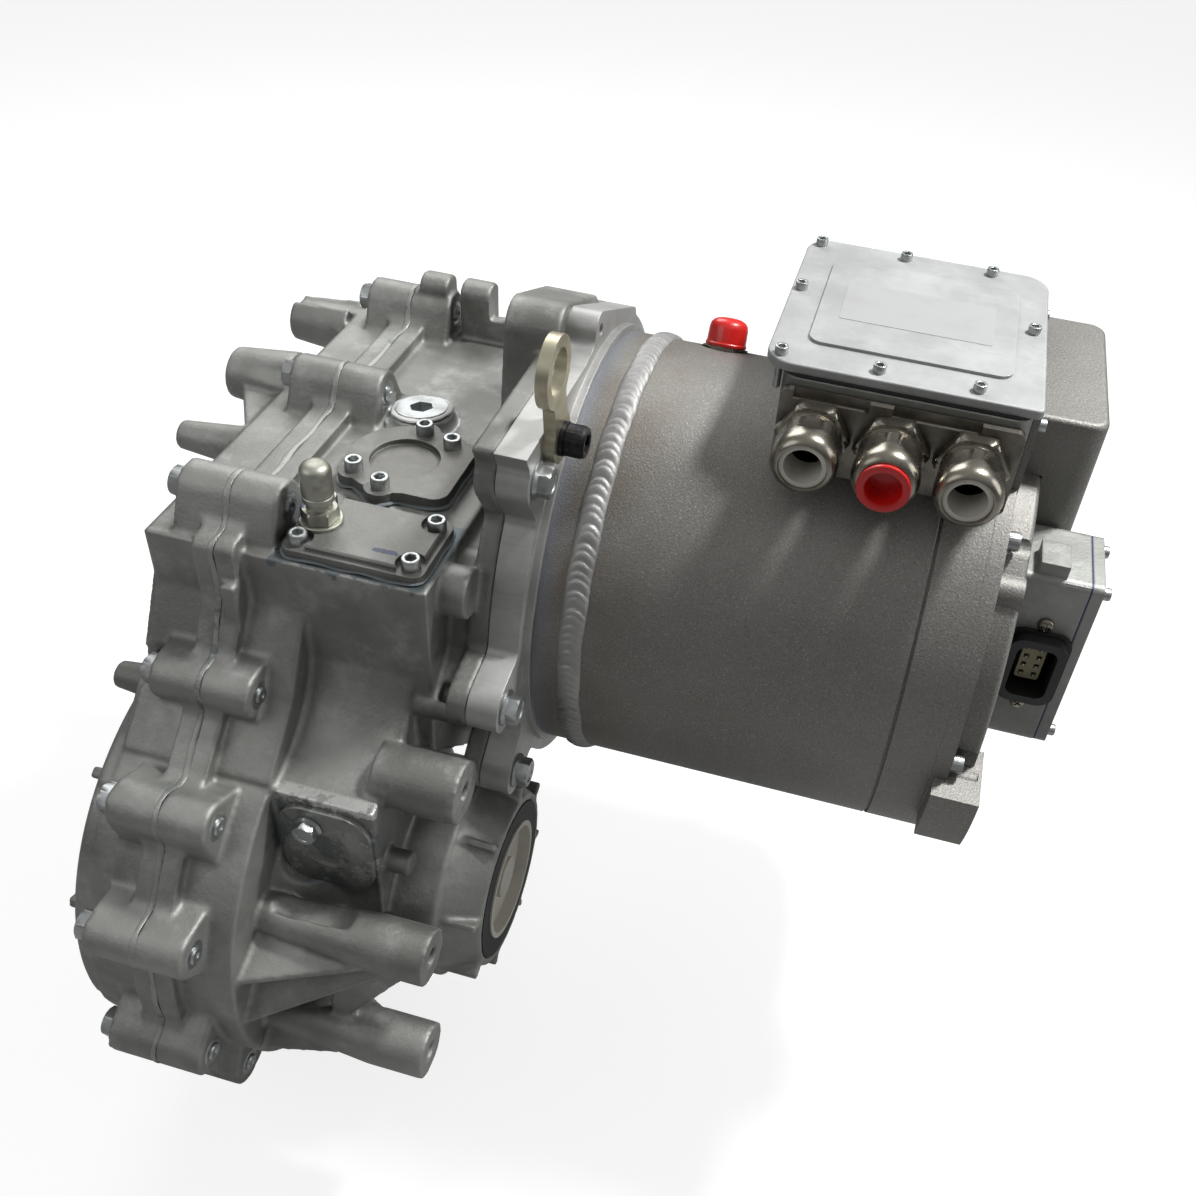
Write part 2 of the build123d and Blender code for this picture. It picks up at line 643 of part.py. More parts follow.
keep("cover_screws_m4", *lid_screw_solids, *signal_screws, *duct_screws)

# Gland plate and the three cable glands

plate_face_y = box_y[0] - gland_plate_thickness
plate = beam(gland_plate_x, (plate_face_y, box_y[0]), gland_plate_z)
plate = fillet(plate.edges().filter_by(Axis.Y).sort_by(Axis.Z)[-2:], 4)
plate -= rod(0, duct_end_x, housing_r + running_gap)
for slot in gland_slots:
    plate -= beam(slot, (plate_face_y - 1, box_y[0] - 1.5), (gland_plate_z[1] - 4.5, gland_plate_z[1] + 1))
gland_bodies = []
gland_nuts = []
gland_seals = []
for number, x in enumerate(gland_x, start=1):
    towards = Pos(x, plate_face_y, gland_z) * Rot(90, 0, 0)
    thread_r = gland_body_r - 2.5
    plate -= towards * Cylinder(thread_r + 0.2, 60)
    base -= towards * Cylinder(thread_r + 0.2, 40)
    body = towards * hexagon(gland_hex, gland_hex_height)
    body += towards * Pos(0, 0, -6) * Cylinder(thread_r, 12)
    neck_length = gland_hex_height + 4
    body += towards * Pos(0, 0, neck_length / 2) * Cylinder(gland_body_r, neck_length)
    body -= towards * Cylinder(gland_bore_r + 1, 60)
    gland_bodies.append(body)
    nut_base = neck_length
    nut = towards * Pos(0, 0, nut_base) * hexagon(gland_hex, 7)
    dome = Pos(0, 0, gland_nut_length / 2) * Cylinder(gland_nut_r, gland_nut_length)
    dome = fillet(dome.edges().filter_by(GeomType.CIRCLE).sort_by(Axis.Z)[-1], 5)
    nut += towards * Pos(0, 0, nut_base) * dome
    nut -= towards * Pos(0, 0, nut_base) * Cylinder(gland_seal_r, 100)
    gland_nuts.append(nut)
    seal_start = nut_base + 2
    seal_end = nut_base + gland_nut_length - 1.5
    seal = Pos(0, 0, (seal_start + seal_end) / 2) * Cylinder(gland_seal_r, seal_end - seal_start)
    seal -= Cylinder(gland_bore_r, 200)
    gland_seals.append(towards * seal)
    if number == 2:
        cup = Pos(0, 0, seal_end + 2.5 - 6) * Cylinder(gland_bore_r, 17)
        cup += Pos(0, 0, seal_end + 0.75) * Cylinder(gland_seal_r - 0.3, 1.5)
        cup -= Pos(0, 0, seal_end + 3) * Cylinder(gland_bore_r - 1.6, 20)
        keep("gland_plug", towards * cup)
keep("gland_plate", plate)
keep("gland_bodies", *gland_bodies)
keep("gland_nuts", *gland_nuts)
keep("gland_seals", *gland_seals)

# Phase leads and terminal block inside the box

block_x = (box_x[0] + 33.0, box_x[0] + 81.0)
block_height = 4.0
lead_thickness = 3.0
lead_half_width = 6.0
lead_drop_x = cover_face + 5.0
lead_low_z = duct_bottom + duct_wall + 2
terminal_block = beam(block_x, (-4, 54), (box_floor, box_floor + block_height))
leads = []
studs = []
for index in range(3):
    y = 6 + 19 * index
    across = (y - lead_half_width, y + lead_half_width)
    lead_z = (box_floor + block_height, box_floor + block_height + lead_thickness)
    lead = beam((block_x[0] + 20, lead_drop_x + lead_thickness), across, lead_z)
    lead += beam((lead_drop_x, lead_drop_x + lead_thickness), across, (lead_low_z, lead_z[1]))
    lead += beam((cover_lip_end - 8, lead_drop_x + 1), across, (lead_low_z, lead_low_z + lead_thickness))
    leads.append(lead)
    stud_x = block_x[0] + 27
    stud = post(stud_x, y, lead_z[1], lead_z[1] + 3, 5.5) + post(stud_x, y, lead_z[1] + 3, lead_z[1] + 7, 3)
    studs.append(stud)
keep("terminal_block", terminal_block)
keep("phase_leads", *leads)
keep("terminal_nuts", *studs)

# Coolant nozzles with their caps

nozzles = []
nozzle_caps = []
for nozzle_x, nozzle_angle in nozzle_places:
    outwards = Pos(nozzle_x, 0, 0) * Rot(nozzle_angle - 90, 0, 0) * Pos(0, 0, nozzle_seat_r)
    nozzle = hexagon(nozzle_hex, nozzle_hex_height)
    nozzle += Pos(0, 0, nozzle_length / 2) * Cylinder(nozzle_r, nozzle_length)
    nozzle += Pos(0, 0, nozzle_length - 4) * Cylinder(nozzle_r + 0.9, 3)
    nozzle += Pos(0, 0, -(housing_wall - 6) / 2) * Cylinder(nozzle_thread_r, housing_wall - 6)
    nozzle -= Pos(0, 0, 20) * Cylinder(nozzle_bore_r, 200)
    nozzles.append(outwards * nozzle)
    cap = Cylinder(nozzle_cap_r, nozzle_cap_length)
    cap = fillet(cap.edges().filter_by(GeomType.CIRCLE).sort_by(Axis.Z)[-1], 5)
    cap -= Pos(0, 0, -2) * Cylinder(nozzle_r + 0.9, nozzle_cap_length)
    cap_middle = nozzle_length + 2 - nozzle_cap_length / 2
    nozzle_caps.append(outwards * Pos(0, 0, cap_middle) * cap)
keep("coolant_nozzles", *nozzles)
keep("coolant_nozzle_caps", *nozzle_caps)

keep("motor_housing", housing)
keep("terminal_box", base)

# Profiles of the gearbox castings

lower_back = polar(drum_r, -32, diff_y, diff_z)
case_outline = outline(
    (case_front_y, -60),
    (case_front_y, deck_z),
    (case_back_y, deck_z),
    (case_back_y, -24),
    (58, -112),
    lower_back,
    (diff_y, diff_z),
)
case_outline += disc(drum_r, diff_y, diff_z)
case_outline += outline((case_front_y, 34), (-176, -8), (-206, -36), (diff_y, diff_z), (-120, -60))
box_outline = outline(
    (case_front_y, -45),
    (case_front_y, deck_z),
    (case_back_y, deck_z),
    (case_back_y, -20),
    (52, -78),
    (-10, -92),
    (-100, -92),
)
diff_bolts = [polar(diff_bolt_r, angle, diff_y, diff_z) for angle in diff_bolt_angles]
case_bolts = diff_bolts + list(top_bolts)
flange_outline = offset(case_outline, flange_ring_r - drum_r)
boss_outline = case_outline
lump_foot_r = 23.0
lump_reach = 24.0
for index, (y, z) in enumerate(case_bolts):
    if index < len(diff_bolts):
        foot_y, foot_z = polar(diff_bolt_r - lump_reach, diff_bolt_angles[index], diff_y, diff_z)
    else:
        lean = hypot(y + 40, z + 60)
        foot_y, foot_z = y - lump_reach * (y + 40) / lean, z - lump_reach * (z + 60) / lean
        if z > deck_z:
            foot_y, foot_z = y, z - lump_reach
    lump = make_hull([*disc(boss_r, y, z).edges(), *disc(lump_foot_r, foot_y, foot_z).edges()])
    flange_outline += lump
    boss_outline += lump
flange_outline = offset(offset(flange_outline, 9), -9)
case_hollow = offset(case_outline, -case_wall)
box_hollow = offset(box_outline, -case_wall)
drum_bore_r = drum_r - case_wall

# Gear housing half on the motor side: drum, box, shoulder, pad, hub and flange for the motor

inner = section(flange_outline, parting_x, parting_x + 11)
inner += section(case_outline, parting_x, drum_end_x)
inner += section(box_outline, parting_x, wall_x)
inner += section(boss_outline, parting_x + 11, boss_end_x)
shoulder_curve = ThreePointArc((case_front_y, 6), (case_front_y - 14, -20), (pad_front_y, pad_top_z))
shoulder_rest = Polyline(
    (pad_front_y, pad_top_z),
    (pad_front_y, pad_bottom_z),
    (pad_front_y + 14, pad_bottom_z - 12),
    (diff_y, diff_z),
    (-96, -80),
    (-130, 6),
    (case_front_y, 6),
)
inner += section(make_face([shoulder_curve, shoulder_rest]), *shoulder_x)
hub_break_x = -62.0
hub_neck_x = -26.0
case_room_r = 58.0
inner += taper(drum_end_x, hub_break_x, 92, 67, diff_y, diff_z)
inner += rod(hub_break_x, hub_neck_x, 62, diff_y, diff_z)
inner += taper(hub_neck_x, hub_end_x, 60, hub_r, diff_y, diff_z)
for fin in range(8):
    fin_y, fin_z = polar(55, 22 + 45 * fin, diff_y, diff_z)
    fin_plate = Pos((hub_neck_x + hub_end_x) / 2, fin_y, fin_z) * Rot(22 + 45 * fin, 0, 0)
    inner += fin_plate * Box(hub_end_x - hub_neck_x - 1, 9, 4)
bell_x = -84.0
crown_x = -50.0
bell = taper(bell_x, gearbox_flange_x, 92, flange_r - 6)
bell &= beam((bell_x, gearbox_flange_x), (-200, 200), (-200, deck_z - 8))
inner += bell
inner += section(flange_face, gearbox_flange_x, front_flange_x)
crown_edges = [*disc(15, -8, housing_r + 13).edges(), *disc(15, 38, housing_r - 4).edges()]
crown = make_hull(crown_edges + [*disc(40, 10, housing_r - 44).edges()])
inner += section(crown, crown_x, front_flange_x)
saddle_points = [(crown_x - 16, deck_z - 2), (crown_x + 4, deck_z + 34), (crown_x + 4, deck_z - 2)]
saddle = make_face(Polyline(*saddle_points, close=True))
inner += Pos(0, 58, 0) * extrude(Plane.XZ * saddle, amount=96)


def gusset(x_low, x_high, foot_point, edge_point, thickness):
    """A triangular rib that stands deepest at x_low and runs out at x_high."""
    low, high = Vector(0, *foot_point), Vector(0, *edge_point)
    outward = (high - low).normalized()
    depth = (high - low).length
    plane = Plane(origin=(x_low, *foot_point), x_dir=(1, 0, 0), z_dir=Vector(1, 0, 0).cross(outward))
    triangle = make_face(Polyline((0, 0), (x_high - x_low, 0), (x_high - x_low, 2), (0, depth), close=True))
    return extrude(plane * triangle, amount=thickness / 2, both=True)


for (y, z, r, start_x), depth in zip(mount_bosses, mount_hole_depths):
    collar_x = mount_end_x - depth - 4
    inner += rod(collar_x, mount_end_x, r, y, z)
    inner += taper(start_x, collar_x, r - mount_boss_draft * (collar_x - start_x) / 66, r, y, z)
upper_mount, middle_mount, lower_mount = [(y, z) for y, z, _, _ in mount_bosses]
rib_start_x = drum_end_x - 4
rib_end_x = mount_end_x - 6
rib_thickness = 6.0
rib_feet = (
    ((middle_mount[0], middle_mount[1] - 5), polar(drum_r - 3, 170, diff_y, diff_z)),
    ((middle_mount[0] + 4, middle_mount[1] - 10), polar(drum_r - 3, 187, diff_y, diff_z)),
    ((lower_mount[0], lower_mount[1] - 5), polar(drum_r - 2, 206, diff_y, diff_z)),
    (lower_mount, polar(60, 208, diff_y, diff_z)),
    (middle_mount, polar(60, 160, diff_y, diff_z)),
)
for foot_point, edge_point in rib_feet:
    inner += gusset(rib_start_x, rib_end_x, foot_point, edge_point, rib_thickness)
inner += gusset(-70, mount_end_x - 1, middle_mount, lower_mount, rib_thickness)
inner += rod(wall_x - 2, wall_x + 14, 13, -128, 49)
inner += rod(wall_x - 2, front_flange_x - 2, 13, -106, 44)
inner += rod(wall_x - 12, wall_x + 14, 9, -147, -12)
inner += rod(shoulder_x[1] - 4, shoulder_x[1] + 14, 6.5, -196, -84)
curved_rib = outline((-124, 34), (-116, 34), (-122, 14), (-143, -8), (-150, -4), (-130, 12))
inner += section(curved_rib, wall_x - 2, wall_x + 16)
inner += beam((parting_x + 4, parting_x + 12), (case_front_y - 12, case_front_y + 4), (4, 50))

# Deck: filler boss, back ears and the wall behind the filler

filler_tilt = Pos(*filler_place, deck_z) * Rot(-6, -4, 0)
inner += filler_tilt * Pos(0, 0, filler_boss_height / 2 - 3) * Cylinder(filler_boss_r, filler_boss_height + 6)
ear_y = (case_back_y - 12, case_back_y + 6)
ear_top = 98.0
ear_spans = ((-143.0, -125.0), (-117.0, -98.0))
for span in ear_spans:
    ear = beam(span, ear_y, (deck_z - 20, ear_top))
    ear = fillet(ear.edges().filter_by(Axis.X).sort_by(Axis.Z)[-2:], 7)
    inner += ear
wall_face = make_face(
    Polyline(
        (ear_spans[1][1] - 1, deck_z - 6),
        (gearbox_flange_x + 3, deck_z - 6),
        (gearbox_flange_x + 3, deck_z + 24),
        (ear_spans[1][1] - 1, deck_z + 15),
        close=True,
    )
)
inner += Pos(0, case_back_y - 4, 0) * extrude(Plane.XZ * wall_face, amount=8)

# Hollows of the motor side half

inner -= section(case_hollow, parting_x - 1, drum_end_x - 8)
inner -= section(box_hollow, parting_x - 1, wall_x - case_wall)
inner -= rod(drum_end_x - 9, hub_break_x - 4, case_room_r, diff_y, diff_z)
counter_bearing_r = 26.0
input_bearing_r = 31.0
diff_bearing_r = 40.0
counter_bearing_x = wall_x - 16.0
input_bearing_x = wall_x - 9.0
diff_bearing_x = hub_break_x - 5.0
inner += rod(counter_bearing_x + 1, wall_x, counter_bearing_r + 5, counter_y, counter_z)
inner += rod(input_bearing_x + 1, wall_x, input_bearing_r + 5)
inner -= rod(counter_bearing_x, wall_x - 2, counter_bearing_r, counter_y, counter_z)
inner -= rod(input_bearing_x, input_bearing_x + 16, input_bearing_r)
inner -= rod(input_bearing_x + 10, front_flange_x + 1, input_bearing_r - 5)
inner -= rod(front_flange_x - 8, front_flange_x + 1, bearing_outer_r + 6)
inner -= rod(diff_bearing_x, diff_bearing_x + 20, diff_bearing_r, diff_y, diff_z)
inner -= rod(diff_bearing_x + 18, hub_end_x + 1, output_bore_r, diff_y, diff_z)
inner -= rod(hub_end_x - seal_width, hub_end_x + 1, seal_r, diff_y, diff_z)
for (y, z, _, _), depth in zip(mount_bosses, mount_hole_depths):
    inner -= rod(mount_end_x - depth, mount_end_x + 1, mount_hole_r, y, z)
for y, z in bolt_places:
    inner -= screw_hole(front_flange_face, y, z, "+x", bolt_size, bolt_length)
inner -= screw_hole(front_flange_face, *eye_screw, "+x", bolt_size, bolt_length)
pad_middle_x = -79.0
pad_middle_z = -72.0
retainer_size = (50.0, 56.0)
retainer_corner_r = 15.0
retainer_thickness = 3.0
retainer_bolt_z = -57.0
retainer_bolt_size = 8.0
pad_out = Pos(pad_middle_x, pad_front_y, pad_middle_z) * Rot(90, 0, 0)
retainer_bolt_place = Pos(pad_middle_x - 8, pad_front_y - retainer_thickness, retainer_bolt_z) * Rot(90, 0, 0)
retainer_face = RectangleRounded(*retainer_size, retainer_corner_r)
inner -= pad_out * extrude(offset(retainer_face, 1), amount=30)
retainer_hole = retainer_bolt_place * Pos(0, 0, -11) * Cylinder(retainer_bolt_size / 2 + 0.2, 24)
inner -= retainer_hole
inner -= pad_out * Pos(0, 0, -10) * Cylinder(13, 20.6)

# Square cover, round cover and breather on the deck

square_top = deck_z + square_cover_thickness
square_seat = deck_z + square_cover_edge
square_cover = rounded_plate(square_cover_x, square_cover_y, (deck_z, square_seat), 6)
raised = rounded_plate(
    (square_cover_x[0] + 2.5, square_cover_x[1] - 2.5),
    (square_cover_y[0] + 2.5, square_cover_y[1] - 2.5),
    (square_seat - 1, square_top),
    4,
)
square_cover += chamfer(raised.faces().sort_by(Axis.Z)[-1].edges(), 1)
deck_screw_size = 6.0
deck_screw_length = 18.0
deck_screws = []
for x in (square_cover_x[0] + square_screw_inset, square_cover_x[1] - square_screw_inset):
    for y in (square_cover_y[0] + square_screw_inset, square_cover_y[1] - square_screw_inset):
        square_cover -= post(x, y, square_seat, square_top + 1, square_screw_inset)
        hole = screw_hole(x, y, square_seat, "+z", deck_screw_size, deck_screw_length)
        square_cover -= hole
        inner -= hole
        deck_screws.append(facing(x, y, square_seat, "+z") * socket_screw(deck_screw_size, deck_screw_length))
square_cover_hollow = (
    (square_cover_x[0] + 18, square_cover_x[1] - 18),
    (square_cover_y[0] + 13, square_cover_y[1] - 13),
)
breather_thread_r = 4.9
square_cover -= post(*breather_place, deck_z - 1, square_top + 1, breather_thread_r + fit_gap)
inner -= rounded_plate(*square_cover_hollow, (deck_z - 12, deck_z + 1), 4)
keep("square_cover", square_cover)

breather_hex = 16.5
breather_height = 34.0
breather_cap_r = 7.8
breather_cap_length = 21.0
breather = Pos(*breather_place, square_top + 2) * hexagon(breather_hex, 7)
breather += post(*breather_place, square_top, square_top + 2, 10.8)
breather += post(*breather_place, square_top - 7, square_top + 1, breather_thread_r)
breather += post(*breather_place, square_top + 8, square_top + breather_height - 2, 6)
cap = Pos(*breather_place, square_top + breather_height - breather_cap_length / 2)
cap *= Cylinder(breather_cap_r, breather_cap_length)
breather += fillet(cap.edges().filter_by(GeomType.CIRCLE).sort_by(Axis.Z)[-1], 4)
keep("breather", breather)

round_top = deck_z + round_cover_thickness
round_screws = [polar(round_screw_r, angle, *round_cover_centre) for angle in round_screw_angles]
lobes = [Pos(*place) * Circle(8.5) for place in round_screws]
round_face = Pos(*round_cover_centre) * Circle(round_cover_r - 4)
for lobe in lobes:
    round_face += lobe
round_face += Pos(round_cover_centre[0] + 16, round_cover_centre[1] - 2) * RectangleRounded(34, 54, 8)
pad_face = Pos(0, 0, deck_z - 2) * offset(round_face, 2)
inner += extrude(pad_face, amount=4)
inner -= post(*round_cover_centre, deck_z - 10, deck_z + 3, round_recess_r)
round_cover = Pos(0, 0, deck_z + 2) * extrude(round_face, amount=round_cover_thickness)
round_cover -= post(*round_cover_centre, round_top - 1, round_top + 3, round_recess_r)
for x, y in round_screws:
    hole = screw_hole(x, y, round_top + 2, "+z", deck_screw_size, deck_screw_length)
    round_cover -= hole
    inner -= hole
    deck_screws.append(facing(x, y, round_top + 2, "+z") * socket_screw(deck_screw_size, deck_screw_length))
keep("round_cover", round_cover)
keep("cover_screws_m6", *deck_screws, *cover_screws)

# Oil plugs: the filler on the deck and the drain under the drum

plug_thread_r = 11.0
plug_thread_length = 12.0
plug_collar_r = 14.5


def oil_plug():
    """A screw plug along Z with the underside of its collar at the origin."""
    plug = Pos(0, 0, 1.5) * Cylinder(plug_collar_r, 3) - Pos(0, 0, -3) * hexagon(12, 10)
    thread = Pos(0, 0, -plug_thread_length / 2) * Cylinder(plug_thread_r - fit_gap, plug_thread_length)
    return plug + (thread - Pos(0, 0, -5) * hexagon(12, 10))


drain_x = -128.0
drain_y = -165.0
drain_z = diff_z - drum_r - 7
filler_mouth = filler_tilt * Pos(0, 0, filler_boss_height)
drain_mouth = Pos(drain_x, drain_y, drain_z) * Rot(180, 0, 0)
inner += drain_mouth * Pos(0, 0, -7) * Cylinder(17, 14)
for mouth in (filler_mouth, drain_mouth):
    inner -= mouth * Pos(0, 0, -14) * Cylinder(plug_thread_r, 30)
keep("oil_plugs", filler_mouth * oil_plug(), drain_mouth * oil_plug())

# Gear housing half on the far side: drum with bolt pockets, end wall, hub, ribs and long bosses

drum_low_x = -198.0
hub_low_x = -214.0
outer_floor_x = outer_half_x + case_wall
outer = section(flange_outline, parting_x - 11, parting_x)
outer += section(boss_outline, bolt_seat_x, parting_x - 11)
outer += section(case_outline, outer_half_x + 4, bolt_seat_x)
outer += section(offset(case_outline, -4), outer_half_x, outer_half_x + 4)
drum = rod(drum_low_x, outer_half_x + 4, drum_r - 1, diff_y, diff_z)
outer += fillet(drum.edges().filter_by(GeomType.CIRCLE).sort_by(Axis.X)[0], 5)
outer += rod(hub_low_x, drum_low_x + 2, 62, diff_y, diff_z)
for index in range(10):
    rib_place = Pos(drum_low_x, diff_y, diff_z) * Rot(36 * index + 18, 0, 0)
    rib = rib_place * Pos(-4, 86, 0) * Box(10, 58, rib_thickness)
    outer += rib
outer += rod(outer_half_x - 5, outer_half_x + 2, 37)
outer += rod(outer_half_x - 5, outer_half_x + 2, 32, counter_y, counter_z)
for y, z, r in outer_bosses:
    outer += taper(outer_boss_x, outer_half_x + 3, r - 1, r + outer_boss_draft, y, z)
web_points = [(outer_half_x + 2, -52), (outer_half_x + 2, 8), (outer_boss_x + 3, 8)]
web_face = make_face(Polyline(*web_points, close=True))
outer += Pos(0, 0, 52) * extrude(web_face, amount=rib_thickness)
outer -= section(case_hollow, outer_floor_x, parting_x + 1)
outer -= rod(drum_low_x + case_wall, parting_x + 1, drum_bore_r, diff_y, diff_z)
outer_bearing_x = outer_half_x + 8
diff_outer_x = drum_low_x + 1
outer += rod(outer_floor_x - 2, outer_bearing_x + 16, input_bearing_r + 5)
outer += rod(outer_floor_x - 2, outer_bearing_x + 16, counter_bearing_r + 5, counter_y, counter_z)
outer += rod(drum_low_x + 2, diff_outer_x + 18, diff_bearing_r + 6, diff_y, diff_z)
outer -= rod(outer_bearing_x, parting_x, input_bearing_r)
outer -= rod(outer_bearing_x, parting_x, counter_bearing_r, counter_y, counter_z)
outer -= rod(diff_outer_x, parting_x, diff_bearing_r, diff_y, diff_z)
outer -= rod(hub_low_x - 1, diff_outer_x + 1, output_bore_r, diff_y, diff_z)
outer -= rod(hub_low_x - 1, hub_low_x + seal_width, seal_r, diff_y, diff_z)
pocket_r = 12.5
case_bolt_length = 50.0
case_bolt_solids = []
for y, z in case_bolts:
    outer -= rod(hub_low_x - 20, bolt_seat_x, pocket_r, y, z)
    hole = screw_hole(bolt_seat_x, y, z, "-x", bolt_size, case_bolt_length)
    outer -= hole
    inner -= hole
    case_bolt_solids.append(facing(bolt_seat_x, y, z, "-x") * flange_screw(bolt_size, case_bolt_length))
keep("housing_bolts", *case_bolt_solids)
for y, z, r in outer_bosses:
    outer -= rod(outer_boss_x - 1, outer_boss_x + 22, r * 0.33, y, z)
keep("gear_housing_motor_side", inner)
keep("gear_housing_far_side", outer)

# Retainer plate with its bolt, seals and plugs of the outputs

retainer = pad_out * extrude(retainer_face, amount=retainer_thickness)
retainer -= retainer_hole
retainer -= pad_out * Pos(0, 0, retainer_thickness) * Cylinder(13, 3)
keep("retainer_plate", retainer)
keep("retainer_bolt", retainer_bolt_place * flange_screw(retainer_bolt_size, 18))

seal_lip_r = output_plug_r + fit_gap
input_nose_r = 12.0
input_seal_x = input_bearing_x + 17
seals = [
    ring(hub_end_x - seal_width + 1, hub_end_x, seal_r - fit_gap, seal_lip_r, diff_y, diff_z),
    ring(hub_low_x, hub_low_x + seal_width - 1, seal_r - fit_gap, seal_lip_r, diff_y, diff_z),
    ring(input_seal_x, input_seal_x + 8, input_bearing_r - 5 - fit_gap, input_nose_r + fit_gap),
]
keep("oil_seals", *seals)
plug_depth = 9.0
plugs = []
for face_x, side in ((hub_end_x, 1), (hub_low_x, -1)):
    plug = rod(face_x - side * plug_depth, face_x + side * 1, output_plug_r, diff_y, diff_z)
    plug -= rod(face_x - side * (plug_depth - 3), face_x + side * 2, output_plug_r - 3, diff_y, diff_z)
    plug += rod(face_x - side * plug_depth, face_x - side * 2, 12, diff_y, diff_z)
    plugs.append(plug)
keep("output_plugs", *plugs)

# Input shaft, countershaft and the bearings of the gearbox

input_seat_r = 15.0
input_angle = 0.0
first_angle = degrees(atan2(counter_z, counter_y))
second_angle = degrees(atan2(diff_z - counter_z, diff_y - counter_y))


def meshed_angle(line_angle, driver_angle, driver_teeth, teeth):
    """The tooth angle of a gear so that it meshes with its driver along the line of centres."""
    return line_angle + 180 - (driver_angle - line_angle) * driver_teeth / teeth + 180 / teeth


first_width = first_stage_x[1] - first_stage_x[0]
second_width = second_stage_x[1] - second_stage_x[0]
wheel_angle = meshed_angle(first_angle, input_angle, first_pinion_teeth, first_wheel_teeth)
ring_angle = meshed_angle(second_angle, 0.0, second_pinion_teeth, ring_gear_teeth)
spigot_end_x = front_flange_x + 36
input_shaft = rod(outer_bearing_x + 0.5, input_bearing_x + 15.5, input_seat_r)
input_shaft += rod(outer_bearing_x + 16.2, input_bearing_x - 0.2, input_seat_r + 2)
input_shaft += rod(input_bearing_x + 15, front_flange_x - 0.5, input_nose_r)
input_shaft += rod(front_flange_x - 1, spigot_end_x, shaft_bore_r - fit_gap)
first_pinion = spur_gear(first_module, first_pinion_teeth, first_width, 0, input_angle)
input_shaft += Pos(first_stage_x[0], 0, 0) * first_pinion
keep("input_shaft", input_shaft)

counter_seat_r = 12.5
counter_r = 18.0
counter_place = Pos(0, counter_y, counter_z)
countershaft = rod(outer_bearing_x + 0.5, counter_bearing_x + 13, counter_seat_r, counter_y, counter_z)
countershaft += rod(outer_bearing_x + 15.2, counter_bearing_x - 0.2, counter_r, counter_y, counter_z)
second_pinion = spur_gear(second_module, second_pinion_teeth, second_width, 0, 0.0)
countershaft += counter_place * Pos(second_stage_x[0], 0, 0) * second_pinion
keep("countershaft", countershaft)
wheel_rim_r = 50.0
wheel_hub_r = 27.0
wheel = spur_gear(first_module, first_wheel_teeth, first_width, wheel_rim_r, wheel_angle)
wheel += ring(7, first_width - 7, wheel_rim_r, wheel_hub_r)
wheel += ring(0, first_width, wheel_hub_r, counter_r + fit_gap)
keep("countershaft_wheel", counter_place * Pos(first_stage_x[0], 0, 0) * wheel)

diff_seat_r = 25.0
gearbox_bearings = [
    ball_bearing(outer_bearing_x, input_bearing_r, input_seat_r, 16),
    ball_bearing(input_bearing_x, input_bearing_r, input_seat_r, 16),
    ball_bearing(outer_bearing_x, counter_bearing_r, counter_seat_r, 15, counter_y, counter_z),
    ball_bearing(counter_bearing_x, counter_bearing_r, counter_seat_r, 14, counter_y, counter_z),
    ball_bearing(diff_outer_x, diff_bearing_r, diff_seat_r, 18, diff_y, diff_z),
    ball_bearing(diff_bearing_x, diff_bearing_r, diff_seat_r, 18, diff_y, diff_z),
]
keep("gearbox_bearings", *gearbox_bearings)

# Differential: case with its ring gear, cross pin, pinions and side gears

case_low_x = diff_outer_x + 18
case_high_x = diff_bearing_x
case_middle_x = (case_low_x + case_high_x) / 2
case_body_r = 52.0
case_room = 41.0
side_bore_r = 14.0
flange_low_x = second_stage_x[1]
flange_high_x = flange_low_x + 10
ring_bore_r = 70.0
pin_r = 8.0
case_body = rod(case_middle_x - 38, case_middle_x + 38, case_body_r, diff_y, diff_z)
case_body += taper(case_low_x + 0.2, case_middle_x - 38, 31, case_body_r, diff_y, diff_z)
case_body += taper(case_middle_x + 38, case_high_x - 0.2, case_body_r, 31, diff_y, diff_z)
case_body += rod(diff_outer_x + 0.5, case_high_x + 17.5, diff_seat_r, diff_y, diff_z)
case_body += rod(flange_low_x, flange_high_x, 98, diff_y, diff_z)
case_body += rod(flange_low_x - 14, flange_low_x, ring_bore_r - fit_gap, diff_y, diff_z)
case_body -= rod(case_middle_x - 29, case_middle_x + 29, case_room, diff_y, diff_z)
case_body -= rod(diff_outer_x, case_high_x + 18, side_bore_r + 5, diff_y, diff_z)
pin_axis = Pos(case_middle_x, diff_y, diff_z)
case_body -= pin_axis * Cylinder(pin_r + fit_gap, 2 * drum_r)
case_body -= pin_axis * Box(30, 2 * case_body_r + 10, 40)
ring_gear = spur_gear(second_module, ring_gear_teeth, second_width, ring_bore_r, ring_angle)
ring_gear = Pos(second_stage_x[0], diff_y, diff_z) * ring_gear
ring_bolt_seat = second_stage_x[0] + 8
ring_bolts = []
for index in range(10):
    y, z = polar(86, 36 * index, diff_y, diff_z)
    ring_gear -= rod(second_stage_x[0] - 1, ring_bolt_seat, 10.5, y, z)
    hole = screw_hole(ring_bolt_seat, y, z, "-x", bolt_size, 32)
    ring_gear -= hole
    case_body -= hole
    ring_bolts.append(facing(ring_bolt_seat, y, z, "-x") * flange_screw(bolt_size, 30))
keep("differential_case", case_body)
keep("ring_gear", ring_gear)
keep("ring_gear_bolts", *ring_bolts)
keep("differential_pin", pin_axis * Cylinder(pin_r, 2 * case_body_r))

bevel_module = 4.0
side_teeth = 16
bevel_teeth = 10
bevel_inner_share = 0.62


